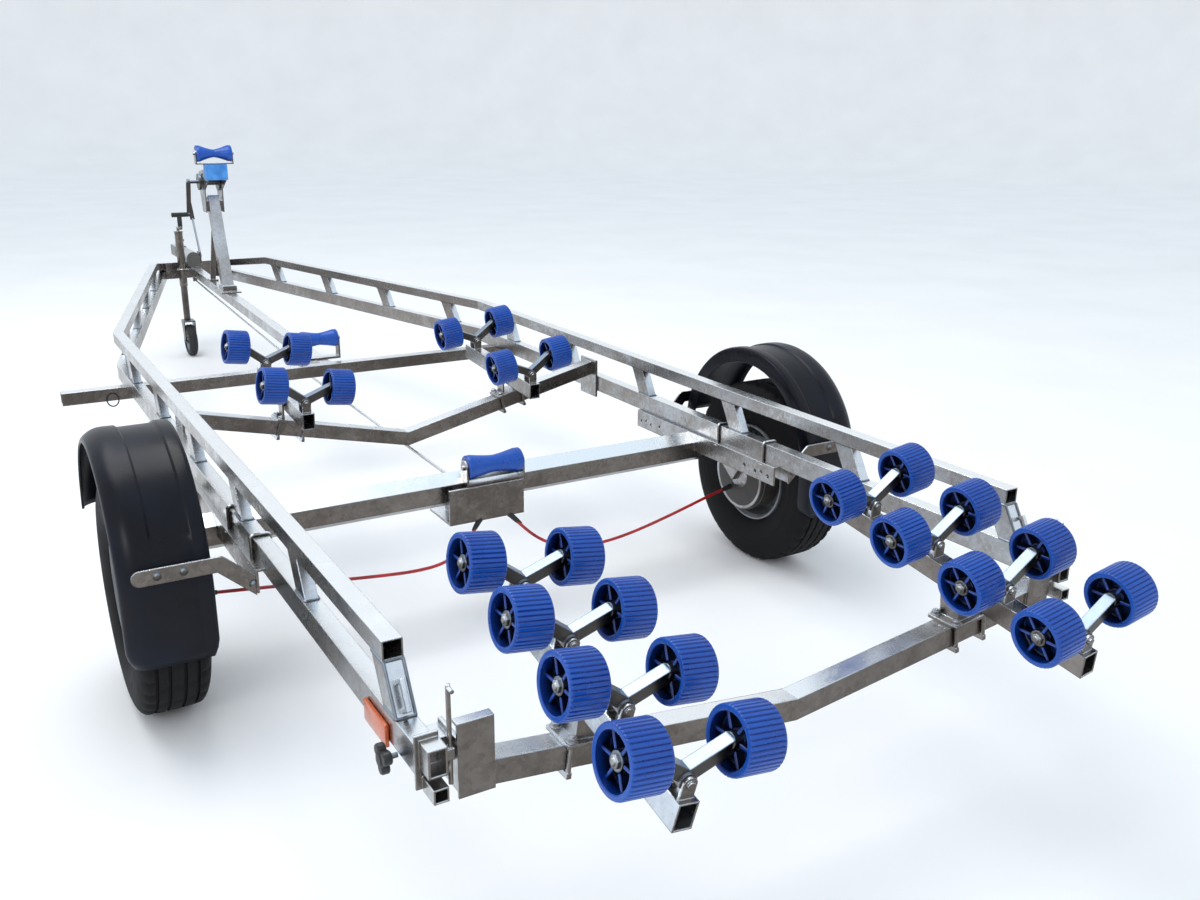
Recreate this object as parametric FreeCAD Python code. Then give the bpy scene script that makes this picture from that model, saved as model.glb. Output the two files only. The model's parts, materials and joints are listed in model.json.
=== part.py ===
"""Single-axle galvanised boat trailer with ladder side rails and blue wobble rollers.

Millimetres. X is to the right, +Y runs forward to the coupling, +Z is up from the floor.
Everything is laid out from a cross line near the axle (y = 0); each piece is moved along Y as it
is exported, so that the origin lies on the floor under the middle of the trailer.
"""
import FreeCAD, Part
import os
from math import cos, pi, radians, sin, sqrt, tan

V = FreeCAD.Vector

# ---------------------------------------------------------------- driving dimensions
# tyres and rims
TYRE_R = 322.0
TYRE_W = 186.0
TYRE_BEAD_R = 172.0
SIDEWALL_BULGE_R = 60.0
SHOULDER = 34.0
RIM_R = 171.9
RIM_W = 150.0
RIM_WALL = 6.0
RIM_WELL = 8.0
HUB_BORE_R = 20.0
HUB_CLEARANCE = 0.05
WHEEL_X = 1046.0
WHEEL_Y = -75.0

# ladder side rails
RAIL_INNER_X = 795.0
RAIL_W = 40.0
RAIL_WALL = 3.0
TOP_TUBE_H = 40.0
TOP_TUBE_TOP = 661.0
LOW_TUBE_H = 60.0
LOW_TUBE_BOTTOM = 470.0
RAIL_REAR_Y = -1300.0
LOW_TUBE_REAR_Y = -1435.0
RAIL_NOSE_L = 2690.0
RAIL_BEND_DEG = 13.4
RAIL_FRONT_Y = 4520.0
TOP_DROP_L = 660.0
TOP_DROP = 88.0
POST_PITCH = 560.0
POST_FIRST_Y = -708.0
POST_COUNT = 9
POST_LEAN_DEG = 30.0
POST_LENGTH = 60.0
POST_W = 30.0
EYE_DOWN = 40.0
EYE_LENGTH = 52.0
EYE_REACH = 24.0
EYE_BAR = 9.0

# cross members
CROSS_Y = 1685.0
CROSS_SIZE = 50.0
CROSS_WALL = 3.0
MARKER_ARM_X = -1068.0
FRONT_V_Y = 755.0
FRONT_V_TOP = 401.0
FRONT_V_DEG = 13.0
REAR_V_Y = -1440.0
REAR_V_TOP = 388.0
REAR_V_DEG = 6.8
V_SIZE = 50.0
V_WALL = 3.0
V_PLATE_T = 8.0
FRONT_PLATE_L = 120.0
FRONT_PLATE_LAP = 25.0
REAR_PLATE_W = 62.0
REAR_PLATE_Z = (418.0, 565.0)
REAR_PLATE_INSET = 26.0
REAR_PLATE_T = 6.0
REAR_FLANGE = 22.0
REAR_CHEEK_L = 86.0

# axle
AXLE_Y = 50.0
AXLE_FLATS = 95.0
AXLE_WALL = 5.0
AXLE_SEAT = 2.0
AXLE_BRACKET_T = 6.0
AXLE_BRACKET_DROP = 62.0
AXLE_BRACKET_Y = (-430.0, 372.0)
AXLE_SHELF_OVERHANG = 14.0
AXLE_HOLE_R = 6.5
AXLE_HOLE_DOWN = 38.0
AXLE_HOLE_STEPS = ((30.0, 0.0), (62.0, 6.0), (94.0, 0.0), (150.0, 6.0))
SWING_ARM_T = 30.0
SWING_ARM_W = 60.0
DRUM_SETBACK = 31.0
DRUM_FACE = 42.0
DRUM_R = 125.0
SPINDLE_R = 19.95
SPINDLE_REACH = 42.0
HUB_FLANGE_R = 34.0
HUB_FLANGE_X = (22.0, 36.0)

# drawbar beam, overrun coupling and handbrake
DRAWBAR_W = 50.0
DRAWBAR_H = 50.0
DRAWBAR_WALL = 3.0
DRAWBAR_FRONT_INSET = 20.0
DRAWBAR_RISE = 90.0
DRAWBAR_NOSE = 150.0
BRIDGE_T = 10.0
BRIDGE_LAP = 44.0
GUSSET_L = 150.0
GUSSET_T = 8.0
HOUSING_R = 40.0
HOUSING_GAP = 2.0
HOUSING_BACK = 110.0
HOUSING_NOSE = 20.0
SADDLE_HALF = 38.0
GAITER_R = 34.0
GAITER_L = 90.0
COUPLING_TUBE_R = 27.0
COUPLING_REACH = 465.0
HEAD_HALF = 34.0
HEAD_L = 190.0
NOSE_R = 36.0
LATCH_RISE = 50.0
BALL_R = 25.5
BALL_DEPTH = 30.0
LEVER_RUN = 150.0
LEVER_RISE = 235.0
LEVER_GRIP_L = 100.0
LEVER_GRIP_R = 13.0

# brake gear under the axle
TRAY_X = (-165.0, 90.0)
TRAY_Y = (-34.0, 130.0)
TRAY_DOWN = (152.0, 38.0)
TRAY_T = 8.0
PULL_ROD_R = 5.0
PULL_ROD_LIFT = 20.0
PULL_ROD_DROP = 66.0
CABLE_R = 5.0

# wobble rollers and their rockers
ROLLER_R = 61.0
ROLLER_W = 78.0
ROLLER_WALL = 11.0
ROLLER_WEB = 26.0
ROLLER_HUB_R = 20.0
ROLLER_SPACING = 225.0
ROLLER_RISE = 56.0
SPIGOT_R = 12.0
SPIGOT_NUT_R = 17.0
RUNNING_FIT = 0.05
ARM_TUBE = 26.0
ARM_COLLAR_R = 15.0
PIVOT_SLEEVE_R = 17.0
PIVOT_PIN_R = 8.0
PIVOT_SLEEVE_L = 34.0
EAR_T = 6.0
EAR_HALF = 14.0
EAR_GAP = 0.6
PIVOT_HEIGHT = 28.0

# bunk beams that carry the rockers
BUNK_W = 40.0
BUNK_H = 56.0
BUNK_WALL = 3.0
REAR_BUNK_X = 490.0
REAR_BUNK_PIVOTS = (-1150.0, -1353.0, -1556.0, -1750.0)
REAR_BUNK_FRONT_Y = -1080.0
REAR_BUNK_REAR_Y = -1784.0
REAR_BUNK_MID_Z = 586.0
REAR_BUNK_SLOPE_DEG = 9.6
REAR_BUNK_ROLL_DEG = 8.5
FRONT_BUNK_X = 424.0
FRONT_BUNK_PIVOTS = (1040.0, 560.0)
FRONT_BUNK_FRONT_Y = 1095.0
FRONT_BUNK_REAR_Y = 520.0
FRONT_BUNK_MID_Z = 629.0
FRONT_BUNK_SLOPE_DEG = 4.6
FRONT_ROCKER_TILT_DEG = 8.0
SWING_PIN_R = 8.0
SWING_SLEEVE_R = 15.0
SWING_CHEEK_GAP = 6.0
SWING_CHEEK_T = 6.0
SWING_CHEEK_HALF = 25.0
CLAMP_BOLT_R = 5.0
CLAMP_BOLT_X = 44.0
CLAMP_PLATE = (58.0, 42.0, 8.0)
PEDESTAL_HALF = (34.0, 28.0)
PEDESTAL_LAP = 20.0

# mudguards and stays
GUARD_R = 355.0
GUARD_T = 5.0
GUARD_W = 216.0
GUARD_X = 1052.0
GUARD_CENTRE_Y = -62.0
GUARD_CENTRE_Z = 415.0
GUARD_FRONT_Z = 471.0
GUARD_FLAP = 155.0
GUARD_LIP = 34.0
STAY_W = 40.0
STAY_T = 6.0
STAY_GAP = 13.0
STAY_HEIGHTS = {-1: 501.0, 1: 520.0}
STAY_OUT_X = 1112.0
STAY_ELBOW_X = 930.0
STAY_FOOT_DOWN = 42.0
STAY_PAD_R = 8.0

# winch post and bow stop
WINCH_BASE_Y = 3500.0
WINCH_TOP_Y = 3690.0
WINCH_TOP_Z = 1045.0
WINCH_POST_W = 60.0
POST_PLATE_W = 110.0
POST_PLATE_T = 8.0
STRUT_REACH = 190.0
STRUT_W = 30.0
HEAD_T = 5.0
HEAD_GAP = 90.0
HEAD_BOTTOM_Z = 960.0
BOW_ROLLER_Y = 3560.0
BOW_ROLLER_Z = 1289.0
BOW_ROLLER_L = 190.0
BOW_ROLLER_R = (44.0, 20.0)
BOW_PIN_R = 8.0
BOW_CHEEK_T = 6.0
BOW_CHEEK_HALF = 20.0
SNUBBER = (116.0, 62.0, 84.0)
DRUM_Y = 3700.0
DRUM_Z = 1128.0
DRUM_CORE_R = 20.0
DRUM_FLANGE_R = 52.0
DRUM_PIN_R = 9.0
GEAR_R = 46.0
CRANK_OUT = 72.0
CRANK_L = 200.0
CRANK_GRIP_R = 12.0
CRANK_GRIP_L = 96.0

# keel rollers
KEEL_R = (38.0, 25.0)
KEEL_PIN_R = 8.0
KEEL_CHEEK_T = 6.0
KEEL_CHEEK_HALF = 24.0
KEEL_BASE_T = 10.0
AXLE_KEEL_L = 186.0
AXLE_KEEL_Y = 0.0
AXLE_KEEL_RISE = 18.0
DRAWBAR_KEEL_L = 162.0
DRAWBAR_KEEL_Y = 1790.0
DRAWBAR_KEEL_RISE = 90.0

# jockey wheel
JOCKEY_X = -80.0
JOCKEY_Y = 4385.0
JOCKEY_OUTER_R = 24.0
JOCKEY_INNER_R = 20.0
JOCKEY_FIT = 0.05
JOCKEY_OUTER_DOWN = 30.0
JOCKEY_OUTER_UP = 303.0
JOCKEY_INNER_Z = (226.0, 600.0)
JOCKEY_CLAMP_HALF = 30.0
JOCKEY_STEM_R = 10.0
JOCKEY_TRAIL = 50.0
JOCKEY_WHEEL_R = 100.0
JOCKEY_WHEEL_W = 55.0
JOCKEY_AXLE_R = 6.0
JOCKEY_FORK_T = 5.0
JOCKEY_FORK_GAP = 2.5
JOCKEY_HANDLE_L = 95.0
JOCKEY_GRIP_L = 80.0

# rear lamp-arm sockets
LAMP_PLATE_Z = (440.0, 545.0)
LAMP_CHANNEL_Z = (480.0, 535.0)
LAMP_CHANNEL_L = 40.0
LAMP_ARM_Z = 450.0
LAMP_ARM_SIZE = 28.0
LAMP_ARM_WALL = 3.0
LAMP_ARM_L = 50.0
LAMP_ARM_INSET = 6.0
LOCK_ROD_R = 4.5
LOCK_ROD_Z = (448.0, 640.0)
LOCK_ROD_INSET = 36.0

# ---------------------------------------------------------------- worked-out values
CROSS_TOP = LOW_TUBE_BOTTOM
LOW_TUBE_TOP = LOW_TUBE_BOTTOM + LOW_TUBE_H
RAIL_MID_X = RAIL_INNER_X + RAIL_W / 2
RAIL_BEND_Y = RAIL_FRONT_Y - RAIL_NOSE_L
TOP_DROP_Y = RAIL_FRONT_Y - TOP_DROP_L
BEND_TAN = tan(radians(RAIL_BEND_DEG))
AXLE_SIDE = AXLE_FLATS / sqrt(3)
AXLE_Z = LOW_TUBE_BOTTOM - AXLE_BRACKET_T - AXLE_SIDE + AXLE_SEAT
SHELF_OUTER_X = RAIL_INNER_X + RAIL_W + AXLE_SHELF_OVERHANG
DRUM_BACK_X = WHEEL_X - TYRE_W / 2 - DRUM_SETBACK
DRAWBAR_REAR_Y = CROSS_Y + CROSS_SIZE / 2
DRAWBAR_REAR_Z = CROSS_TOP - DRAWBAR_H / 2
DRAWBAR_FRONT_Y = RAIL_FRONT_Y - DRAWBAR_FRONT_INSET
DRAWBAR_FRONT_Z = DRAWBAR_REAR_Z + DRAWBAR_RISE
DRAWBAR_SLOPE = (DRAWBAR_FRONT_Z - DRAWBAR_REAR_Z) / (DRAWBAR_FRONT_Y - DRAWBAR_REAR_Y)
DRAWBAR_END_Y = RAIL_FRONT_Y + DRAWBAR_NOSE
COUPLING_NOSE_Y = RAIL_FRONT_Y + COUPLING_REACH
TRAY_Z = tuple(LOW_TUBE_BOTTOM - down for down in TRAY_DOWN)
PULL_ROD_Z = TRAY_Z[0] + PULL_ROD_LIFT
STAY_FOOT_Z = LOW_TUBE_BOTTOM - STAY_FOOT_DOWN
JOCKEY_OUTER_Z = (LOW_TUBE_BOTTOM - JOCKEY_OUTER_DOWN, LOW_TUBE_BOTTOM + JOCKEY_OUTER_UP)
AXLE_KEEL = (AXLE_KEEL_L, AXLE_KEEL_Y, LOW_TUBE_BOTTOM + AXLE_KEEL_RISE)
AXLE_KEEL_SEAT = TRAY_Z[1]
DRAWBAR_KEEL = (DRAWBAR_KEEL_L, DRAWBAR_KEEL_Y, LOW_TUBE_BOTTOM + DRAWBAR_KEEL_RISE)
DRAWBAR_KEEL_SEAT = LOW_TUBE_BOTTOM
BOW_SEAT_Z = BOW_ROLLER_Z - BOW_ROLLER_R[0] - 14
REAR_MID_Y = sum(REAR_BUNK_PIVOTS) / len(REAR_BUNK_PIVOTS)
FRONT_MID_Y = sum(FRONT_BUNK_PIVOTS) / len(FRONT_BUNK_PIVOTS)
REAR_END_Y = REAR_BUNK_PIVOTS[-1] - ROLLER_RISE * sin(radians(REAR_BUNK_SLOPE_DEG)) - ROLLER_R
DATUM_Y = (REAR_END_Y + COUPLING_NOSE_Y) / 2


def rail_x(y):
    """Middle of a side rail, measured out from the centre line."""
    return RAIL_MID_X - max(0.0, y - RAIL_BEND_Y) * BEND_TAN


# ---------------------------------------------------------------- shape helpers
def block(x0, x1, y0, y1, z0, z1):
    return Part.makeBox(x1 - x0, y1 - y0, z1 - z0, V(x0, y0, z0))


def face(points):
    loop = [V(*p) for p in points]
    return Part.Face(Part.makePolygon(loop + [loop[0]]))


def prism(points, direction):
    return face(points).extrude(V(*direction))


def rod(start, end, radius):
    a, b = V(*start), V(*end)
    return Part.makeCylinder(radius, (b - a).Length, a, b - a)


def pipe(start, end, outer, inner):
    return rod(start, end, outer).cut(rod(start, end, inner))


def beam(start, end, width, height, wall=0.0, roll=0.0, up=(0, 0, 1)):
    """Rectangular bar or tube from start to end; roll turns it about its own length."""
    a, b = V(*start), V(*end)
    along = (b - a).normalize()
    side = along.cross(V(*up)).normalize()
    rise = side.cross(along).normalize()
    if roll:
        turn = FreeCAD.Rotation(along, roll)
        side, rise = turn.multVec(side), turn.multVec(rise)

    def solid(w, h):
        corners = [a + side * (i * w / 2) + rise * (j * h / 2)
                   for i, j in ((-1, -1), (1, -1), (1, 1), (-1, 1))]
        return Part.Face(Part.makePolygon(corners + [corners[0]])).extrude(b - a)

    outer = solid(width, height)
    if wall:
        outer = outer.cut(solid(width - 2 * wall, height - 2 * wall))
    return outer


def lathe(profile, axis_point=(0, 0, 0), axis=(1, 0, 0)):
    """Turn (distance along the axis, radius) points about X, then set it on another axis."""
    shape = face([(s, r, 0) for s, r in profile]).revolve(V(0, 0, 0), V(1, 0, 0), 360)
    turn = FreeCAD.Rotation(V(1, 0, 0), V(*axis))
    return shape.transformed(FreeCAD.Placement(V(*axis_point), turn).toMatrix())


def fuse(shapes):
    first, *rest = shapes
    return first.multiFuse(rest).removeSplitter() if rest else first


def mirror(shape):
    return shape.mirror(V(0, 0, 0), V(1, 0, 0))


def moved(shape, offset):
    copy = shape.copy()
    copy.translate(V(*offset))
    return copy


def turned(shape, point, axis, angle):
    copy = shape.copy()
    copy.rotate(V(*point), V(*axis), angle)
    return copy


# ---------------------------------------------------------------- ladder side rails
def rail_strip(width, z0, z1, rear_y, front_y):
    """Plan of a right-hand rail: straight, then bent inward, as a slab from z0 to z1."""
    half = width / 2
    skew = half * tan(radians(RAIL_BEND_DEG) / 2)
    lean = half / cos(radians(RAIL_BEND_DEG))
    front_x = rail_x(front_y)
    plan = [(RAIL_MID_X - half, rear_y, z0), (RAIL_MID_X + half, rear_y, z0),
            (RAIL_MID_X + half, RAIL_BEND_Y + skew, z0), (front_x + lean, front_y, z0),
            (front_x - lean, front_y, z0), (RAIL_MID_X - half, RAIL_BEND_Y - skew, z0)]
    return prism(plan, (0, 0, z1 - z0))


def side_profile(points):
    """Outline in the Y-Z plane, wide enough to cross the whole rail."""
    return prism([(0, y, z) for y, z in points], (RAIL_MID_X + RAIL_W, 0, 0))


def rail_tube(profile, inner_profile, rear_y):
    low, high = LOW_TUBE_BOTTOM - 200, TOP_TUBE_TOP + 10
    outer = rail_strip(RAIL_W, low, high, rear_y, RAIL_FRONT_Y).common(side_profile(profile))
    inner = rail_strip(RAIL_W - 2 * RAIL_WALL, low, high, rear_y - 1, RAIL_FRONT_Y + 1)
    return outer.cut(inner.common(side_profile(inner_profile)))


def top_profile(inset):
    top, bottom = TOP_TUBE_TOP - inset, TOP_TUBE_TOP - TOP_TUBE_H + inset
    rear, front = RAIL_REAR_Y - (1 if inset else 0), RAIL_FRONT_Y + (1 if inset else 0)
    return [(rear, bottom), (rear, top), (TOP_DROP_Y, top), (front, top - TOP_DROP),
            (front, bottom - TOP_DROP), (TOP_DROP_Y, bottom)]


def low_profile(inset):
    top, bottom = LOW_TUBE_TOP - inset, LOW_TUBE_BOTTOM + inset
    rear, front = LOW_TUBE_REAR_Y - (1 if inset else 0), RAIL_FRONT_Y + (1 if inset else 0)
    return [(rear, bottom), (rear, top), (front, top), (front, bottom)]


def post(y_top):
    """Leaning post between the two tubes; its foot is further back than its head."""
    top, bottom = TOP_TUBE_TOP - TOP_TUBE_H, LOW_TUBE_TOP
    shift = (top - bottom) * tan(radians(POST_LEAN_DEG))
    flat = POST_LENGTH / cos(radians(POST_LEAN_DEG))
    outline = [(0, flat / 2, top), (0, -flat / 2, top),
               (0, -flat / 2 - shift, bottom), (0, flat / 2 - shift, bottom)]
    solid = moved(prism(outline, (POST_W, 0, 0)), (-POST_W / 2, 0, 0))
    angle = RAIL_BEND_DEG if y_top > RAIL_BEND_Y else 0
    solid = turned(solid, (0, 0, 0), (0, 0, 1), angle)
    return moved(solid, (rail_x(y_top), y_top, 0))


def end_post():
    """Rear end post, the full width of the rail, from the top tube's mouth to the low tube."""
    top, bottom = TOP_TUBE_TOP - TOP_TUBE_H, LOW_TUBE_TOP
    rear_top, rear_bottom = RAIL_REAR_Y, RAIL_REAR_Y - (top - bottom) * tan(radians(POST_LEAN_DEG))
    outline = [(0, rear_top + POST_LENGTH, top), (0, rear_top, top),
               (0, rear_bottom, bottom), (0, rear_bottom + POST_LENGTH, bottom)]
    return moved(prism(outline, (RAIL_W, 0, 0)), (RAIL_MID_X - RAIL_W / 2, 0, 0))


def tie_loop():
    """Lashing eye of square bar welded on the end post's rear face."""
    lean = radians(POST_LEAN_DEG)
    down = V(0, -sin(lean), -cos(lean))
    out = V(0, -cos(lean), sin(lean))
    head = V(RAIL_MID_X, RAIL_REAR_Y, TOP_TUBE_TOP - TOP_TUBE_H) + down * EYE_DOWN
    ends = (head, head + down * EYE_LENGTH)
    legs = [beam(p, p + out * EYE_REACH, EYE_BAR, EYE_BAR) for p in ends]
    spill = down * (EYE_BAR / 2)
    bar = beam(ends[0] + out * EYE_REACH - spill, ends[1] + out * EYE_REACH + spill, EYE_BAR, EYE_BAR)
    return fuse(legs + [bar])


def right_rail():
    top = rail_tube(top_profile(0), top_profile(RAIL_WALL), RAIL_REAR_Y)
    low = rail_tube(low_profile(0), low_profile(RAIL_WALL), LOW_TUBE_REAR_Y)
    posts = [post(POST_FIRST_Y + POST_PITCH * i) for i in range(POST_COUNT)]
    return fuse([top, low, end_post(), tie_loop()] + posts)


# ---------------------------------------------------------------- cross members
def front_cross_member():
    """Square tube bolted under the rails; its left end reaches out as the marker-lamp arm."""
    z = CROSS_TOP - CROSS_SIZE / 2
    right_end = rail_x(CROSS_Y) + RAIL_W
    return beam((MARKER_ARM_X, CROSS_Y, z), (right_end, CROSS_Y, z), CROSS_SIZE, CROSS_SIZE, CROSS_WALL)


def v_beam(y, top, slope_deg, end_x):
    """Two tube halves that drop to the centre line; returns them with the rise at their ends."""
    slope = radians(slope_deg)
    depth = V_SIZE / cos(slope)

    def half(inset):
        t = inset / cos(slope)
        z0, z1 = top - depth + t, top - t
        lift = end_x * tan(slope)
        outline = [(0, 0, z0), (0, 0, z1), (end_x, 0, z1 + lift), (end_x, 0, z0 + lift)]
        return moved(prism(outline, (0, V_SIZE - 2 * inset, 0)), (0, y - V_SIZE / 2 + inset, 0))

    right = half(0).cut(half(V_WALL))
    return fuse([right, mirror(right)]), end_x * tan(slope)


def v_outline(y, top, slope_deg):
    """Solid right half of a V member, for shaping what clamps round it."""
    slope = radians(slope_deg)
    z = top - V_SIZE / 2 / cos(slope)
    return beam((0, y, z), (RAIL_MID_X, y, z + RAIL_MID_X * tan(slope)), V_SIZE, V_SIZE)


def front_v_beam():
    """V member with an upright plate against each rail's inner face."""
    end_x = RAIL_INNER_X - V_PLATE_T
    body, rise = v_beam(FRONT_V_Y, FRONT_V_TOP, FRONT_V_DEG, end_x)
    z1 = min(FRONT_V_TOP + rise + 10, TOP_TUBE_TOP - TOP_TUBE_H - 5)
    plate = block(end_x, RAIL_INNER_X, FRONT_V_Y - FRONT_PLATE_L / 2, FRONT_V_Y + FRONT_PLATE_L / 2,
                  LOW_TUBE_BOTTOM - FRONT_PLATE_LAP, z1)
    return fuse([body, plate, mirror(plate)])


def rear_v_beam():
    """V member whose ends carry tall flanged end plates and a foot against each rail."""
    end_x = RAIL_INNER_X - V_PLATE_T - REAR_PLATE_INSET
    body, _ = v_beam(REAR_V_Y, REAR_V_TOP, REAR_V_DEG, end_x)
    z0, z1 = REAR_PLATE_Z
    y0 = REAR_V_Y - V_SIZE / 2 - REAR_PLATE_T
    x0, x1 = end_x - REAR_PLATE_W, end_x + V_PLATE_T
    plate = block(x0, x1, y0, y0 + REAR_PLATE_T, z0, z1)
    flange = block(x0, x1, y0, y0 + REAR_FLANGE, z1 - REAR_PLATE_T, z1)
    cheek = block(end_x, x1, y0, y0 + REAR_CHEEK_L, z0 + 12, z1 - 30)
    foot = block(x1, RAIL_INNER_X, LOW_TUBE_REAR_Y + 1, y0 + REAR_CHEEK_L,
                 LOW_TUBE_BOTTOM + 5, LOW_TUBE_TOP - 5)
    pieces = [plate, flange, cheek, foot]
    return fuse([body] + pieces + [mirror(p) for p in pieces])


# ---------------------------------------------------------------- axle
def hexagon(across_flats, x0, x1):
    side = across_flats / sqrt(3)
    corners = [radians(60 * i) for i in range(6)]
    points = [(x0, AXLE_Y + side * sin(a), AXLE_Z + side * cos(a)) for a in corners]
    return prism(points, (x1 - x0, 0, 0))


def axle_beam():
    """Hexagonal rubber-torsion tube, stub arms, drum backs and the two long mounting channels."""
    arm_x0 = DRUM_BACK_X - SWING_ARM_T / 2
    tube_end = arm_x0 + 5
    tube = hexagon(AXLE_FLATS, -tube_end, tube_end)
    tube = tube.cut(hexagon(AXLE_FLATS - 2 * AXLE_WALL, -tube_end - 1, tube_end + 1))
    y0, y1 = AXLE_BRACKET_Y
    inner_x = RAIL_INNER_X - AXLE_SHELF_OVERHANG
    top = LOW_TUBE_BOTTOM
    channel = [block(inner_x, SHELF_OUTER_X, y0, y1, top - AXLE_BRACKET_T, top)]
    for x0 in (inner_x, SHELF_OUTER_X - AXLE_BRACKET_T):
        leg = block(x0, x0 + AXLE_BRACKET_T, y0, y1, top - AXLE_BRACKET_DROP, top)
        channel.append(leg.cut(hexagon(AXLE_FLATS, x0 - 1, x0 + AXLE_BRACKET_T + 1)))
    hole_z = top - AXLE_HOLE_DOWN
    holes = [rod((inner_x - 1, end + inward * step, hole_z + dz),
                 (inner_x + AXLE_BRACKET_T + 1, end + inward * step, hole_z + dz), AXLE_HOLE_R)
             for end, inward in ((y0, 1), (y1, -1)) for step, dz in AXLE_HOLE_STEPS]
    channel[1] = channel[1].cut(fuse(holes))
    cap = hexagon(AXLE_FLATS, tube_end - 3, tube_end + 12)
    arm = beam((DRUM_BACK_X, AXLE_Y, AXLE_Z), (DRUM_BACK_X, WHEEL_Y, TYRE_R), SWING_ARM_T, SWING_ARM_W)

    def disc(x0, x1, radius):
        return rod((x0, WHEEL_Y, TYRE_R), (x1, WHEEL_Y, TYRE_R), radius)

    face_x = WHEEL_X - DRUM_FACE
    drum = disc(DRUM_BACK_X, face_x, DRUM_R)
    stub = disc(face_x - 8, WHEEL_X + SPINDLE_REACH, SPINDLE_R)
    flange = disc(WHEEL_X + HUB_FLANGE_X[0], WHEEL_X + HUB_FLANGE_X[1], HUB_FLANGE_R)
    right = fuse(channel + [cap, arm, drum, stub, flange])
    return fuse([tube, right, mirror(right)])


def tyre(side):
    """Closed tyre ring; the tread's grooves are part of the finish."""
    half = TYRE_W / 2
    tread = half - 22
    bulge = TYRE_BEAD_R + SIDEWALL_BULGE_R
    right_half = [(tread / 2, TYRE_R), (tread, TYRE_R - 1), (tread + 6, TYRE_R - 6),
                  (half - 4, TYRE_R - SHOULDER), (half, bulge), (half - 14, TYRE_BEAD_R)]
    left_half = [(-x, r) for x, r in reversed(right_half)]
    return lathe(left_half + right_half, (side * WHEEL_X, WHEEL_Y, TYRE_R))


def rim(side):
    """Pressed steel wheel: well rim with a dished disc bolted through at the hub."""
    half = RIM_W / 2
    lip, well = RIM_R - RIM_WALL, RIM_R - RIM_WALL - RIM_WELL
    barrel = [(-half, RIM_R), (half, RIM_R), (half, lip),
              (half - 14, well), (-half + 14, well), (-half, lip)]
    bore = HUB_BORE_R + HUB_CLEARANCE
    disc = [(-8, bore), (18, bore), (18, 60), (8, 110), (26, well - 16), (26, well + 2), (20, well + 2),
            (20, well - 14), (-6, 112), (-8, 60)]
    shape = fuse([lathe(barrel), lathe(disc)])
    if side < 0:
        shape = mirror(shape)
    return moved(shape, (side * WHEEL_X, WHEEL_Y, TYRE_R))


# ---------------------------------------------------------------- drawbar, coupling, brake gear
def drawbar_z(y):
    """Height of the drawbar beam's middle."""
    return DRAWBAR_REAR_Z + (y - DRAWBAR_REAR_Y) * DRAWBAR_SLOPE


def drawbar_top(y):
    """Height of the drawbar beam's upper face."""
    return drawbar_z(y) + DRAWBAR_H / 2 * sqrt(1 + DRAWBAR_SLOPE ** 2)


def drawbar_solid(y0, y1, wall=0.0):
    return beam((0, y0, drawbar_z(y0)), (0, y1, drawbar_z(y1)), DRAWBAR_W, DRAWBAR_H, wall)


def drawbar_beam():
    """Centre beam, the bridge plate across the rails' front ends, and its two gussets."""
    tube = drawbar_solid(DRAWBAR_REAR_Y, DRAWBAR_END_Y, DRAWBAR_WALL)
    tube = tube.cut(block(-DRAWBAR_W, DRAWBAR_W, DRAWBAR_REAR_Y - 60, DRAWBAR_REAR_Y, 0, TOP_TUBE_TOP))
    reach = rail_x(RAIL_FRONT_Y) - RAIL_W / 2 / cos(radians(RAIL_BEND_DEG)) + BRIDGE_LAP
    y0, y1 = RAIL_FRONT_Y, RAIL_FRONT_Y + BRIDGE_T
    bridge = block(-reach, reach, y0, y1, LOW_TUBE_BOTTOM, TOP_TUBE_TOP - TOP_DROP)
    gussets = [prism([(s * DRAWBAR_W / 2, y1, LOW_TUBE_BOTTOM), (s * reach, y1, LOW_TUBE_BOTTOM),
                      (s * DRAWBAR_W / 2, y0 + GUSSET_L, LOW_TUBE_BOTTOM)], (0, 0, GUSSET_T))
               for s in (-1, 1)]
    notch_half = SADDLE_HALF + 0.3
    notch = block(-notch_half, notch_half, y0 - 1, y1 + 1, drawbar_top(y0), TOP_TUBE_TOP)
    housing = rod((0, y0 - 1, COUPLING_Z), (0, y1 + 1, COUPLING_Z), HOUSING_R + 0.3)
    return fuse([tube, bridge.cut(notch).cut(housing)] + gussets)


COUPLING_Z = drawbar_top(DRAWBAR_END_Y) + HOUSING_R + HOUSING_GAP
BALL_Y = COUPLING_NOSE_Y - NOSE_R
SOCKET_Z = COUPLING_Z - HEAD_HALF


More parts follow.
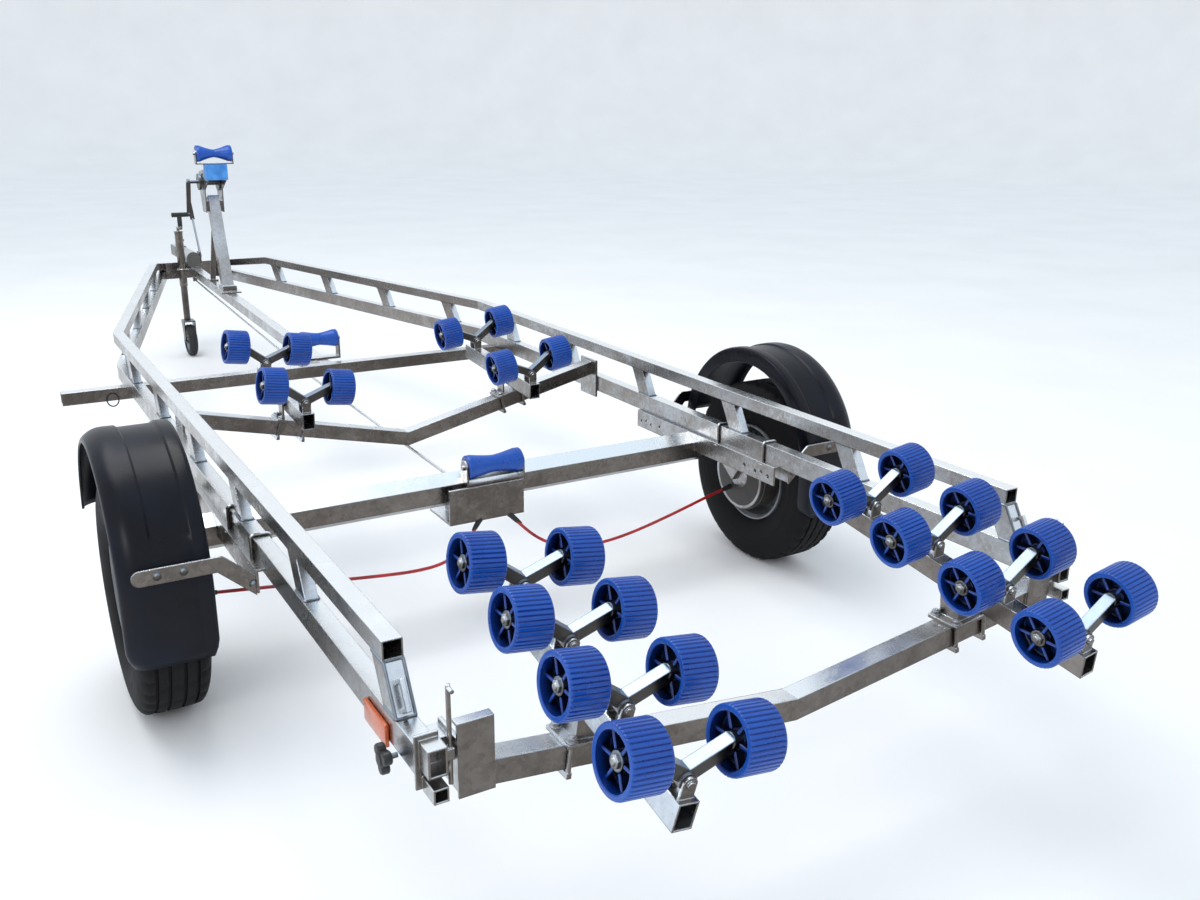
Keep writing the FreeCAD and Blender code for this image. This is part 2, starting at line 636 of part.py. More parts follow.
def coupling_head():
    """Overrun housing, damper tube with its rubber gaiter, and the pressed ball head."""
    base_y, front_y, z = RAIL_FRONT_Y - HOUSING_BACK, DRAWBAR_END_Y, COUPLING_Z
    saddle = prism([(-SADDLE_HALF, base_y, drawbar_top(base_y)),
                    (-SADDLE_HALF, front_y, drawbar_top(front_y)),
                    (-SADDLE_HALF, front_y, z), (-SADDLE_HALF, base_y, z)], (2 * SADDLE_HALF, 0, 0))
    nose_y = front_y + HOUSING_NOSE
    housing = rod((0, base_y, z), (0, nose_y, z), HOUSING_R)
    gaiter = rod((0, nose_y, z), (0, nose_y + GAITER_L, z), GAITER_R)
    head_y = COUPLING_NOSE_Y - HEAD_L
    tube = rod((0, nose_y + GAITER_L, z), (0, head_y + 60, z), COUPLING_TUBE_R)
    head = block(-HEAD_HALF, HEAD_HALF, head_y, BALL_Y, SOCKET_Z, z + HEAD_HALF)
    nose = rod((0, BALL_Y, SOCKET_Z), (0, BALL_Y, z + HEAD_HALF - 4), NOSE_R)
    socket = rod((0, BALL_Y, SOCKET_Z - 1), (0, BALL_Y, SOCKET_Z + BALL_DEPTH), BALL_R)
    latch = beam((0, head_y + 60, z + HEAD_HALF + 4), (0, head_y - 70, z + HEAD_HALF + LATCH_RISE), 24, 12)
    return fuse([saddle, housing, gaiter, tube, head, nose, latch]).cut(socket)


def handbrake_lever():
    """Lever at the right of the housing, leaning forward, with a grip at its top."""
    x, y, z = HOUSING_R + 8, RAIL_FRONT_Y - 60, COUPLING_Z
    plate = block(HOUSING_R, x + 4, y - 34, y + 34, z - 34, z + 34)
    top = (x + 8, y + LEVER_RUN, z + LEVER_RISE)
    lever = beam((x + 8, y, z), top, 8, 24)
    along = (V(*top) - V(x + 8, y, z)).normalize()
    grip = rod(V(*top) - along * 8, V(*top) + along * LEVER_GRIP_L, LEVER_GRIP_R)
    return fuse([plate, lever, grip])


def brake_gear():
    """Equaliser tray hung on the axle's middle, with the long pull rod forward to the housing."""
    (x0, x1), (y0, y1), (z0, z1) = TRAY_X, TRAY_Y, TRAY_Z
    floor = block(x0, x1, y0, y1, z0, z0 + TRAY_T)
    back = block(x0, x1, y0, y0 + TRAY_T, z0, z1)
    hangers = [block(x, x + TRAY_T, y0, y1 - 30, z0, z1 - 20)
               .cut(hexagon(AXLE_FLATS, x - 1, x + TRAY_T + 1))
               for x in (x0 + 40, x1 - 40 - TRAY_T)]
    bridge = block(x0 + 40, x1 - 40, y0, AXLE_Y, z1 - 20, z1 - 12).cut(hexagon(AXLE_FLATS, x0, x1))
    middle = (0, CROSS_Y + 200, CROSS_TOP - CROSS_SIZE - PULL_ROD_DROP)
    fore_y = RAIL_FRONT_Y - HOUSING_BACK + 15
    fore = (0, fore_y, drawbar_z(fore_y) - DRAWBAR_H / 2 - 40)
    post = block(-8, 8, y1 - 44, y1 - 28, z0, PULL_ROD_Z + PULL_ROD_R)
    pulls = [rod((0, y1 - 36, PULL_ROD_Z), middle, PULL_ROD_R), rod(middle, fore, PULL_ROD_R)]
    yoke = block(-12, 12, fore_y - 6, fore_y + 14, fore[2] - 8, drawbar_z(fore_y - 6) - DRAWBAR_H / 2)
    knuckle = Part.makeSphere(PULL_ROD_R, V(*middle))
    return fuse([floor, back, bridge, post, knuckle, yoke] + hangers + pulls)


# ---------------------------------------------------------------- cables
LEFT_CABLE = ((-60, -25, 321), (-110, -70, 287), (-170, -100, 253), (-232, -108, 231), (-318, -106, 227),
              (-420, -104, 235), (-540, -100, 247), (-660, -92, 258), (-770, -76, 264), (-850, -54, 264),
              (-923, -30, 262))
RIGHT_CABLE = ((40, -25, 321), (72, -66, 279), (118, -96, 239), (178, -112, 211), (252, -118, 197),
               (340, -116, 193), (436, -112, 201), (540, -108, 219), (650, -100, 240), (748, -82, 254),
               (838, -56, 260), (923, -30, 262))


def cord(points, radius):
    """Round cable of straight runs joined by tangent arcs; returns it with its arc radii."""
    pts = [V(*p) for p in points]
    edges, radii, start = [], [], pts[0]
    for before, here, after in zip(pts, pts[1:], pts[2:]):
        a, b = (here - before), (after - here)
        turn = a.getAngle(b)
        arc_r = 0.45 * min(a.Length, b.Length) / tan(turn / 2)
        cut = arc_r * tan(turn / 2)
        a.normalize()
        b.normalize()
        first, last = here - a * cut, here + b * cut
        inward = (b - a).normalize()
        middle = here + inward * (arc_r / cos(turn / 2) - arc_r)
        edges.append(Part.LineSegment(start, first).toShape())
        edges.append(Part.Arc(first, middle, last).toShape())
        radii.append(round(arc_r, 1))
        start = last
    edges.append(Part.LineSegment(start, pts[-1]).toShape())
    path = Part.Wire(edges)
    ring = Part.Wire([Part.makeCircle(radius, pts[0], pts[1] - pts[0])])
    tube = path.makePipeShell([ring], True, False)
    ratio = tube.Volume / (pi * radius ** 2 * path.Length)
    return tube, radii, ratio


# ---------------------------------------------------------------- wobble rollers and rockers
def roller_at(x):
    """Blue ribbed roller on its X axis: hollow both sides of a central web with a hub."""
    half, web = ROLLER_W / 2, ROLLER_WEB / 2
    inner = ROLLER_R - ROLLER_WALL
    bore = SPIGOT_R + RUNNING_FIT
    ring = [(-half, inner), (-half, ROLLER_R), (half, ROLLER_R), (half, inner), (web, inner - 3),
            (web, ROLLER_HUB_R), (web + 4, ROLLER_HUB_R), (web + 4, bore), (-web - 4, bore),
            (-web - 4, ROLLER_HUB_R), (-web, ROLLER_HUB_R), (-web, inner - 3)]
    return lathe(ring, (x, 0, 0))


def roller_pair():
    """Two rollers on one axis, standing above the rocker's pivot at the origin."""
    half = ROLLER_SPACING / 2
    return [moved(roller_at(x), (0, 0, ROLLER_RISE)) for x in (-half, half)]


def rocker():
    """V-shaped arm: pivot sleeve along Y, two square tubes rising to the roller spigots."""
    half, rise = ROLLER_SPACING / 2, ROLLER_RISE
    hub_face = ROLLER_WEB / 2 + 4
    shoulder = half - hub_face - 0.5
    elbow = shoulder - 12
    bore_r = PIVOT_PIN_R + RUNNING_FIT
    sleeve = pipe((0, -PIVOT_SLEEVE_L / 2, 0), (0, PIVOT_SLEEVE_L / 2, 0), PIVOT_SLEEVE_R, bore_r)
    bore = rod((0, -PIVOT_SLEEVE_L, 0), (0, PIVOT_SLEEVE_L, 0), bore_r)
    pieces = [sleeve]
    for s in (-1, 1):
        tip = half + ROLLER_WEB + 4
        pieces.append(beam((0, 0, 6), (s * elbow, 0, rise - 2), ARM_TUBE, ARM_TUBE).cut(bore))
        pieces.append(rod((s * (elbow - 6), 0, rise), (s * shoulder, 0, rise), ARM_COLLAR_R))
        pieces.append(rod((s * (elbow - 6), 0, rise), (s * tip, 0, rise), SPIGOT_R))
        pieces.append(rod((s * (half + hub_face + 0.5), 0, rise), (s * tip, 0, rise), SPIGOT_NUT_R))
    return fuse(pieces)


def lug():
    """Two ears and the pivot pin that carry a rocker; the ears stand on the beam's top."""
    pieces = []
    y_in = PIVOT_SLEEVE_L / 2 + EAR_GAP
    for s in (-1, 1):
        y0, y1 = sorted((s * y_in, s * (y_in + EAR_T)))
        pieces.append(block(-EAR_HALF, EAR_HALF, y0, y1, -PIVOT_HEIGHT, 0))
        pieces.append(rod((0, y0, 0), (0, y1, 0), EAR_HALF))
    end = y_in + EAR_T + 5
    return fuse(pieces + [rod((0, -end, 0), (0, end, 0), PIVOT_PIN_R)])


def bunk_frame(x, mid_y, mid_z, slope_deg, roll_deg):
    """Placement that carries a bunk: slope is nose-up, roll leans its top towards the middle."""
    slope = FreeCAD.Rotation(V(1, 0, 0), slope_deg)
    roll = FreeCAD.Rotation(V(0, 1, 0), -roll_deg)
    return FreeCAD.Placement(V(x, mid_y, mid_z), roll.multiply(slope))


def placed(shape, placement):
    return shape.transformed(placement.toMatrix())


def bunk_body(front, rear, mid, pivots, slope_deg):
    """Bunk beam and its lugs; lengths along the beam are plan lengths over cos(slope)."""
    stretch = 1 / cos(radians(slope_deg))
    spots = [(y - mid) * stretch for y in pivots]
    tube = beam((0, (rear - mid) * stretch, -PIVOT_HEIGHT - BUNK_H / 2),
                (0, (front - mid) * stretch, -PIVOT_HEIGHT - BUNK_H / 2), BUNK_W, BUNK_H, BUNK_WALL)
    return fuse([tube] + [moved(lug(), (0, s, 0)) for s in spots]), spots


# ---------------------------------------------------------------- hull supports
def rear_bunk_placement():
    return bunk_frame(REAR_BUNK_X, REAR_MID_Y, REAR_BUNK_MID_Z,
                      REAR_BUNK_SLOPE_DEG, REAR_BUNK_ROLL_DEG)


def front_bunk_placement():
    return bunk_frame(FRONT_BUNK_X, FRONT_MID_Y, FRONT_BUNK_MID_Z, FRONT_BUNK_SLOPE_DEG, 0)


# ---------------------------------------------------------------- keel rollers
def keel_roller(length, y, z):
    half, (big, small) = length / 2, KEEL_R
    bore = KEEL_PIN_R + RUNNING_FIT
    profile = [(-half, bore), (-half, big - 4), (-half + 4, big), (-half + 22, big),
               (-20, small), (20, small),
               (half - 22, big), (half - 4, big), (half, big - 4), (half, bore)]
    return lathe(profile, (0, y, z))


def keel_bracket(length, y, z, seat_z, host):
    """U bracket whose two cheeks hold the pin; its base is shaped to the member it stands on."""
    half = length / 2 + EAR_GAP
    y0, y1 = y - KEEL_CHEEK_HALF, y + KEEL_CHEEK_HALF
    outer = half + KEEL_CHEEK_T
    pieces = [block(-outer, outer, y0, y1, seat_z, seat_z + KEEL_BASE_T)]
    for s in (-1, 1):
        x0, x1 = sorted((s * half, s * outer))
        pieces.append(block(x0, x1, y0, y1, seat_z, z))
        pieces.append(rod((x0, y, z), (x1, y, z), KEEL_CHEEK_HALF))
    end = outer + 7
    pieces.append(rod((-end, y, z), (end, y, z), KEEL_PIN_R))
    return fuse(pieces).cut(host)


# ---------------------------------------------------------------- bunk clamps and swing brackets
def clamp_bolts(x, y, z, spread, slope_deg):
    """Two U-bolts round a V member, legs along the member's own upright."""
    leg_y = V_SIZE / 2 + CLAMP_BOLT_R + 0.3
    under = z - V_SIZE - 16
    bolts = []
    for dx in (-spread, spread):
        legs = [rod((x + dx, y + s * leg_y, under), (x + dx, y + s * leg_y, z + 20), CLAMP_BOLT_R)
                for s in (-1, 1)]
        bar = block(x + dx - CLAMP_BOLT_R, x + dx + CLAMP_BOLT_R, y - leg_y - CLAMP_BOLT_R,
                    y + leg_y + CLAMP_BOLT_R, under, under + 12)
        bolts.append(fuse(legs + [bar]))
    return [turned(b, (x, y, z), (0, 1, 0), -slope_deg) for b in bolts]


def rear_bunk_clamp(bunk_outline, v_outline):
    """Plate and pedestal between the V member and the bunk, with two U-bolts round the member."""
    roll = radians(REAR_BUNK_ROLL_DEG)
    x = REAR_BUNK_X + (PIVOT_HEIGHT + BUNK_H) * sin(roll)
    z = REAR_V_TOP + x * tan(radians(REAR_V_DEG))
    bunk_floor = REAR_BUNK_MID_Z - (PIVOT_HEIGHT + BUNK_H) * cos(roll)
    half_x, half_y, plate_t = CLAMP_PLATE
    plate = block(x - half_x, x + half_x, REAR_V_Y - half_y, REAR_V_Y + half_y, z, z + plate_t)
    pedestal = block(x - PEDESTAL_HALF[0], x + PEDESTAL_HALF[0], REAR_V_Y - PEDESTAL_HALF[1],
                     REAR_V_Y + PEDESTAL_HALF[1], z, bunk_floor + PEDESTAL_LAP)
    foot = turned(plate.fuse(pedestal), (x, REAR_V_Y, z), (0, 1, 0), -REAR_V_DEG)
    foot = foot.cut(bunk_outline).cut(v_outline)
    foot = max(foot.Solids, key=lambda solid: solid.Volume)
    bolts = clamp_bolts(x, REAR_V_Y, z, CLAMP_BOLT_X, REAR_V_DEG)
    return fuse([foot] + [b.cut(v_outline) for b in bolts])


def swing_pin_point():
    """Middle of the right front bunk's swing pin, which crosses the beam over the V member."""
    drop = PIVOT_HEIGHT + BUNK_H / 2
    slope = radians(FRONT_BUNK_SLOPE_DEG)
    along = (FRONT_V_Y - FRONT_MID_Y - drop * sin(slope)) / cos(slope)
    return front_bunk_placement().multVec(V(0, along, -drop))


def front_swing_bracket(v_outline):
    """Foot clamped on the V member, with two cheeks that hold the bunk's swing pin."""
    pin = swing_pin_point()
    x = pin.x
    cheek_x = BUNK_W / 2 + SWING_CHEEK_GAP
    z = FRONT_V_TOP + x * tan(radians(FRONT_V_DEG))
    half_x, half_y, plate_t = CLAMP_PLATE
    foot = turned(block(x - half_x, x + half_x, FRONT_V_Y - half_y, FRONT_V_Y + half_y, z, z + plate_t),
                  (x, FRONT_V_Y, z), (0, 1, 0), -FRONT_V_DEG)
    pieces = [foot]
    for s in (-1, 1):
        x0, x1 = sorted((x + s * cheek_x, x + s * (cheek_x + SWING_CHEEK_T)))
        pieces.append(block(x0, x1, FRONT_V_Y - SWING_CHEEK_HALF, FRONT_V_Y + SWING_CHEEK_HALF,
                            z - 30, pin.z))
        pieces.append(rod((x0, FRONT_V_Y, pin.z), (x1, FRONT_V_Y, pin.z), SWING_CHEEK_HALF))
    end = cheek_x + SWING_CHEEK_T + 8
    pieces.append(rod((x - end, FRONT_V_Y, pin.z), (x + end, FRONT_V_Y, pin.z), SWING_PIN_R))
    pieces += clamp_bolts(x, FRONT_V_Y, z, CLAMP_BOLT_X, FRONT_V_DEG)
    return fuse([p.cut(v_outline) for p in pieces])


def front_bunk_body():
    """Front bunk beam with a sleeve across it for the swing pin."""
    body, spots = bunk_body(FRONT_BUNK_FRONT_Y, FRONT_BUNK_REAR_Y, FRONT_MID_Y,
                            FRONT_BUNK_PIVOTS, FRONT_BUNK_SLOPE_DEG)
    body = placed(body, front_bunk_placement())
    pin = swing_pin_point()
    reach = BUNK_W / 2 + 4
    ends = (pin.x - reach, pin.y, pin.z), (pin.x + reach, pin.y, pin.z)
    return fuse([body, rod(*ends, SWING_SLEEVE_R)]).cut(rod(*ends, SWING_PIN_R + RUNNING_FIT)), spots


# ---------------------------------------------------------------- mudguards
def guard_sheet(outer, inner, flap):
    """Arch in the Y-Z plane: short at the front, with a straight flap down its rear end."""
    y0, z0 = GUARD_CENTRE_Y, GUARD_CENTRE_Z
    ring = rod((0, y0, z0), (1, y0, z0), outer).cut(rod((-1, y0, z0), (2, y0, z0), inner))
    arch = ring.common(block(-1, 2, y0 - outer - 1, y0 + outer + 1, z0, z0 + outer + 1))
    arch = arch.cut(block(-1, 2, y0, y0 + outer + 1, z0 - 1, GUARD_FRONT_Z))
    return arch.fuse(block(0, 1, y0 - outer, y0 - inner, z0 - flap, z0))


def mudguard():
    """Moulded guard: arched sheet with turned-in lips along both edges and a rear flap."""
    def wide(shape, x0, x1):
        grow = FreeCAD.Matrix()
        grow.A11 = x1 - x0
        return moved(shape.transformGeometry(grow), (x0, 0, 0))

    x0, x1 = GUARD_X - GUARD_W / 2, GUARD_X + GUARD_W / 2
    sheet = wide(guard_sheet(GUARD_R, GUARD_R - GUARD_T, GUARD_FLAP), x0, x1)
    lips = [wide(guard_sheet(GUARD_R, GUARD_R - GUARD_LIP, 0.5 * GUARD_FLAP), x, x + GUARD_T)
            for x in (x0, x1 - GUARD_T)]
    return fuse([sheet] + lips)


def mudguard_stays():
    """Flat strips from each end of a guard, bent down to the outer leg of the axle channel."""
    pieces = []
    inside = block(0, SHELF_OUTER_X, GUARD_CENTRE_Y - 2 * GUARD_R, GUARD_CENTRE_Y + 2 * GUARD_R,
                   0, TOP_TUBE_TOP)
    guard_body = rod((GUARD_X - GUARD_W, GUARD_CENTRE_Y, GUARD_CENTRE_Z),
                     (GUARD_X + GUARD_W, GUARD_CENTRE_Y, GUARD_CENTRE_Z), GUARD_R)
    for end, z in STAY_HEIGHTS.items():
        y = GUARD_CENTRE_Y + end * (sqrt(GUARD_R ** 2 - (z - GUARD_CENTRE_Z) ** 2) + STAY_GAP + STAY_T / 2)

        def boss(x):
            return rod((x, y - STAY_T / 2, z), (x, y + STAY_T / 2, z), STAY_W / 2)

        elbow = (STAY_ELBOW_X, y, z)
        slope = (z - STAY_FOOT_Z) / (STAY_ELBOW_X - SHELF_OUTER_X)
        past = STAY_W
        foot = (SHELF_OUTER_X - past, y, STAY_FOOT_Z - past * slope)
        strip = beam((STAY_OUT_X, y, z), elbow, STAY_T, STAY_W)
        leg = beam(elbow, foot, STAY_T, STAY_W).cut(inside)
        pads = [rod((x, y, z), (x, y - end * 2 * STAY_GAP, z), STAY_PAD_R).cut(guard_body)
                for x in (STAY_OUT_X - 15, GUARD_X - 25)]
        pieces.append(fuse([strip, leg, boss(STAY_ELBOW_X), boss(STAY_OUT_X)] + pads))
    return Part.makeCompound(pieces + [mirror(p) for p in pieces])


# ---------------------------------------------------------------- winch post
def plate_on_drawbar(y0, y1, width):
    """Flat plate lying along the drawbar's sloping upper face."""
    lift = POST_PLATE_T / 2 + 0.01
    return beam((0, y0, drawbar_top(y0) + lift), (0, y1, drawbar_top(y1) + lift), width, POST_PLATE_T)


def bow_saddle():
    """U bracket on top of the head that holds the bow roller's pin."""
    y, z = BOW_ROLLER_Y, BOW_ROLLER_Z
    half = BOW_ROLLER_L / 2 + EAR_GAP
    outer = half + BOW_CHEEK_T
    pieces = [block(-outer, outer, y - BOW_CHEEK_HALF, y + BOW_CHEEK_HALF,
                    BOW_SEAT_Z, BOW_SEAT_Z + BOW_CHEEK_T)]
    for s in (-1, 1):
        x0, x1 = sorted((s * half, s * outer))
        pieces.append(block(x0, x1, y - BOW_CHEEK_HALF, y + BOW_CHEEK_HALF, BOW_SEAT_Z, z))
        pieces.append(rod((x0, y, z), (x1, y, z), BOW_CHEEK_HALF))
    pieces.append(rod((-outer - 7, y, z), (outer + 7, y, z), BOW_PIN_R))
    return pieces


def winch_post():
    """Leaning square post with a forward strut; two head plates carry the winch and bow stop."""
    seat = drawbar_top(WINCH_BASE_Y)
    half = WINCH_POST_W / 2
    base = plate_on_drawbar(WINCH_BASE_Y - 80, WINCH_BASE_Y + 110, POST_PLATE_W)
    mast = beam((0, WINCH_BASE_Y + 8, seat + 22), (0, WINCH_TOP_Y, WINCH_TOP_Z),
                WINCH_POST_W, WINCH_POST_W, 3, up=(0, 1, 0))
    foot = block(-half - 8, half + 8, WINCH_BASE_Y - 50, WINCH_BASE_Y + 56, seat + 6, seat + 36)
    strut_y = WINCH_TOP_Y + STRUT_REACH
    strut = beam((0, strut_y, drawbar_top(strut_y) + 7), (0, WINCH_TOP_Y - 6, WINCH_TOP_Z - 110),
                 STRUT_W, 8)
    strut_foot = plate_on_drawbar(strut_y - STRUT_W, strut_y + STRUT_W, DRAWBAR_W)
    outline = [(WINCH_TOP_Y - 52, HEAD_BOTTOM_Z), (WINCH_TOP_Y + 36, HEAD_BOTTOM_Z),
               (DRUM_Y + 72, DRUM_Z - 20), (DRUM_Y + 50, DRUM_Z + 56),
               (BOW_ROLLER_Y + 60, BOW_SEAT_Z - 30), (BOW_ROLLER_Y + 26, BOW_SEAT_Z),
               (BOW_ROLLER_Y - 26, BOW_SEAT_Z), (BOW_ROLLER_Y - 40, BOW_SEAT_Z - 90),
               (DRUM_Y - 70, DRUM_Z - 40)]
    plates = [prism([(x0, y, z) for y, z in outline], (HEAD_T, 0, 0))
              for x0 in (HEAD_GAP / 2, -HEAD_GAP / 2 - HEAD_T)]
    packers = [block(*sorted((s * (half - 1), s * HEAD_GAP / 2)), WINCH_TOP_Y - 50, WINCH_TOP_Y + 30,
                     HEAD_BOTTOM_Z + 6, WINCH_TOP_Z - 20) for s in (-1, 1)]
    whole = fuse([base, mast, foot, strut, strut_foot] + packers + plates + bow_saddle())
    return whole.cut(rod((-HEAD_GAP, DRUM_Y, DRUM_Z), (HEAD_GAP, DRUM_Y, DRUM_Z), DRUM_PIN_R + RUNNING_FIT))


def winch_drum():
    """Strap drum with its shaft through the head plates, and the crank on the left."""
    y, z = DRUM_Y, DRUM_Z
    plate_x = HEAD_GAP / 2 + HEAD_T

    def disc(x0, x1, radius):
        return rod((x0, y, z), (x1, y, z), radius)

    half = HEAD_GAP / 2 - 5
    crank_x = -plate_x - CRANK_OUT
    crank_end = (crank_x, y + CRANK_L * 0.35, z - CRANK_L * 0.93)
    pieces = [disc(-half, half, DRUM_CORE_R), disc(-half, -half + 4, DRUM_FLANGE_R),
              disc(half - 4, half, DRUM_FLANGE_R), disc(crank_x - 2, plate_x + 9, DRUM_PIN_R),
              disc(-plate_x - 19, -plate_x - 7, GEAR_R), disc(crank_x - 6, crank_x + 8, 18),
              beam((crank_x, y, z), crank_end, 8, 24, up=(1, 0, 0)),
              rod((crank_x + 4, crank_end[1], crank_end[2]),
                  (crank_x - CRANK_GRIP_L, crank_end[1], crank_end[2]), CRANK_GRIP_R)]
    return fuse(pieces)


def bow_roller():
    """V-waisted roller that meets the stem of the hull."""
    half, (big, small) = BOW_ROLLER_L / 2, BOW_ROLLER_R
    bore = BOW_PIN_R + RUNNING_FIT
    profile = [(-half, bore), (-half, big), (-half + 16, big), (-10, small), (10, small),
               (half - 16, big), (half, big), (half, bore)]
    return lathe(profile, (0, BOW_ROLLER_Y, BOW_ROLLER_Z))


def snubber_block():
    """Pale-blue rubber block across the head's rear edge, just below the bow roller."""
    width, depth, height = SNUBBER
    rear = BOW_ROLLER_Y - BOW_CHEEK_HALF - depth / 2
    block_shape = block(-width / 2, width / 2, rear, rear + depth, BOW_SEAT_Z - height, BOW_SEAT_Z - 0.01)
    slots = [block(x0, x0 + HEAD_T, rear - 1, rear + depth + 1, BOW_SEAT_Z - height - 1, BOW_SEAT_Z)
             for x0 in (HEAD_GAP / 2, -HEAD_GAP / 2 - HEAD_T)]
    slotted = block_shape
    for slot in slots:
        slotted = slotted.cut(slot.common(block(-HEAD_GAP, HEAD_GAP, BOW_ROLLER_Y - 45, rear + depth + 2,
                                                BOW_SEAT_Z - height - 2, BOW_SEAT_Z + 1)))
    return slotted


# ---------------------------------------------------------------- jockey wheel
def jockey_outer():
    """Clamp on the drawbar's left side, the outer tube and the winding handle on top."""
    x, y = JOCKEY_X, JOCKEY_Y
    z0, z1 = JOCKEY_OUTER_Z
    half = JOCKEY_CLAMP_HALF
    tube = pipe((x, y, z0), (x, y, z1), JOCKEY_OUTER_R, JOCKEY_INNER_R + JOCKEY_FIT)
    zc = drawbar_z(y)
    z_low, z_high = zc - 24, zc + 18
    clamp = block(x, -DRAWBAR_W / 2, y - half, y + half, z_low, z_high)
    collar = rod((x, y, z_low), (x, y, z_high), JOCKEY_OUTER_R + 8)
    bore = rod((x, y, z0), (x, y, z1), JOCKEY_OUTER_R - 0.5)
    bracket = clamp.fuse(collar).cut(bore).cut(drawbar_solid(y - 90, y + 90))
    bar_z = z1 + 38
    grip_y = y - JOCKEY_HANDLE_L + 15
    cap = rod((x, y, z1), (x, y, z1 + 14), JOCKEY_OUTER_R + 2)
    knob = rod((x, y, z1 + 14), (x, y, bar_z), 9)
    bar = rod((x, y + 20, bar_z), (x, y - JOCKEY_HANDLE_L, bar_z), 9)
    grip = rod((x, grip_y, bar_z), (x, grip_y, bar_z + JOCKEY_GRIP_L), 13)
    return fuse([tube, bracket, cap, knob, bar, grip])


def jockey_inner():
    """Sliding tube; its foot is bored for the fork's stem."""
    x, y = JOCKEY_X, JOCKEY_Y
    z0, z1 = JOCKEY_INNER_Z
    bore = rod((x, y, z0 - 1), (x, y, z0 + 60), JOCKEY_STEM_R + JOCKEY_FIT)
    return rod((x, y, z0), (x, y, z1), JOCKEY_INNER_R).cut(bore)


def jockey_fork():
    """Crown and two legs, turning on a stem in the sliding tube, with the wheel's pin."""
    x, y, crown_z = JOCKEY_X, JOCKEY_Y, JOCKEY_INNER_Z[0] - 1
    inner = JOCKEY_WHEEL_W / 2 + JOCKEY_FORK_GAP
    outer = inner + JOCKEY_FORK_T
    wheel_y, wheel_z = y - JOCKEY_TRAIL, JOCKEY_WHEEL_R
    rear_y, front_y = wheel_y - 22, y + 22
    pieces = [rod((x, y, crown_z - 4), (x, y, crown_z + 56), JOCKEY_STEM_R),
              block(x - outer, x + outer, rear_y, front_y, crown_z - 7, crown_z)]
    for x0 in (x + inner, x - outer):
        pieces.append(prism([(x0, rear_y, crown_z), (x0, front_y, crown_z), (x0, wheel_y + 16, wheel_z - 10),
                             (x0, wheel_y - 16, wheel_z - 10)], (JOCKEY_FORK_T, 0, 0)))
    pieces.append(rod((x - outer - 6, wheel_y, wheel_z), (x + outer + 6, wheel_y, wheel_z), JOCKEY_AXLE_R))
    return fuse(pieces)


def jockey_wheel():
    """Solid rubber tyre on a dished centre."""
    half, r = JOCKEY_WHEEL_W / 2, JOCKEY_WHEEL_R
    bore, rim_r = JOCKEY_AXLE_R + RUNNING_FIT, 0.62 * JOCKEY_WHEEL_R
    right_half = [(half - 10, r), (half - 2, r - 12), (half - 4, rim_r), (10, rim_r - 4), (10, 18),
                  (half + 1.5, 16), (half + 1.5, bore)]
    left_half = [(-s, radius) for s, radius in reversed(right_half)]
    return lathe(left_half + right_half, (JOCKEY_X, JOCKEY_Y - JOCKEY_TRAIL, JOCKEY_WHEEL_R))


# ---------------------------------------------------------------- rear lamp-arm sockets
def lamp_arm_socket():
    """Plate behind the low tube with an open channel, a short square socket and its locking rod."""
    x, y = RAIL_MID_X, LOW_TUBE_REAR_Y
    half, plate_y = RAIL_W / 2, LOW_TUBE_REAR_Y - REAR_PLATE_T
    back = block(x - half - 4, x + half, plate_y, y, *LAMP_PLATE_Z)
    z0, z1 = LAMP_CHANNEL_Z
    channel = block(x - half - 4, x + half - 8, plate_y - LAMP_CHANNEL_L, plate_y, z0, z1)
    hollow = block(x - half, x + half - 12, plate_y - LAMP_CHANNEL_L - 1, plate_y, z0 + 4, z1 - 4)
    arm_x = x - LAMP_ARM_INSET
    arm = beam((arm_x, plate_y, LAMP_ARM_Z), (arm_x, plate_y - LAMP_ARM_L, LAMP_ARM_Z),
               LAMP_ARM_SIZE, LAMP_ARM_SIZE, LAMP_ARM_WALL)
    rod_x, rod_y = x - LOCK_ROD_INSET, plate_y - 20
    r0, r1 = LOCK_ROD_Z
    tie_rod = rod((rod_x, rod_y, r0), (rod_x, rod_y, r1), LOCK_ROD_R)
    hook_z = r1 - LOCK_ROD_R - 1.5
    hook = rod((rod_x, rod_y, hook_z), (rod_x, rod_y - 18, hook_z), LOCK_ROD_R - 0.5)
    eye = block(rod_x - 6, x - half - 4, rod_y - 8, rod_y + 8, z0 + 18, z0 + 40)
    return fuse([back, channel.cut(hollow), arm, tie_rod, hook, eye])


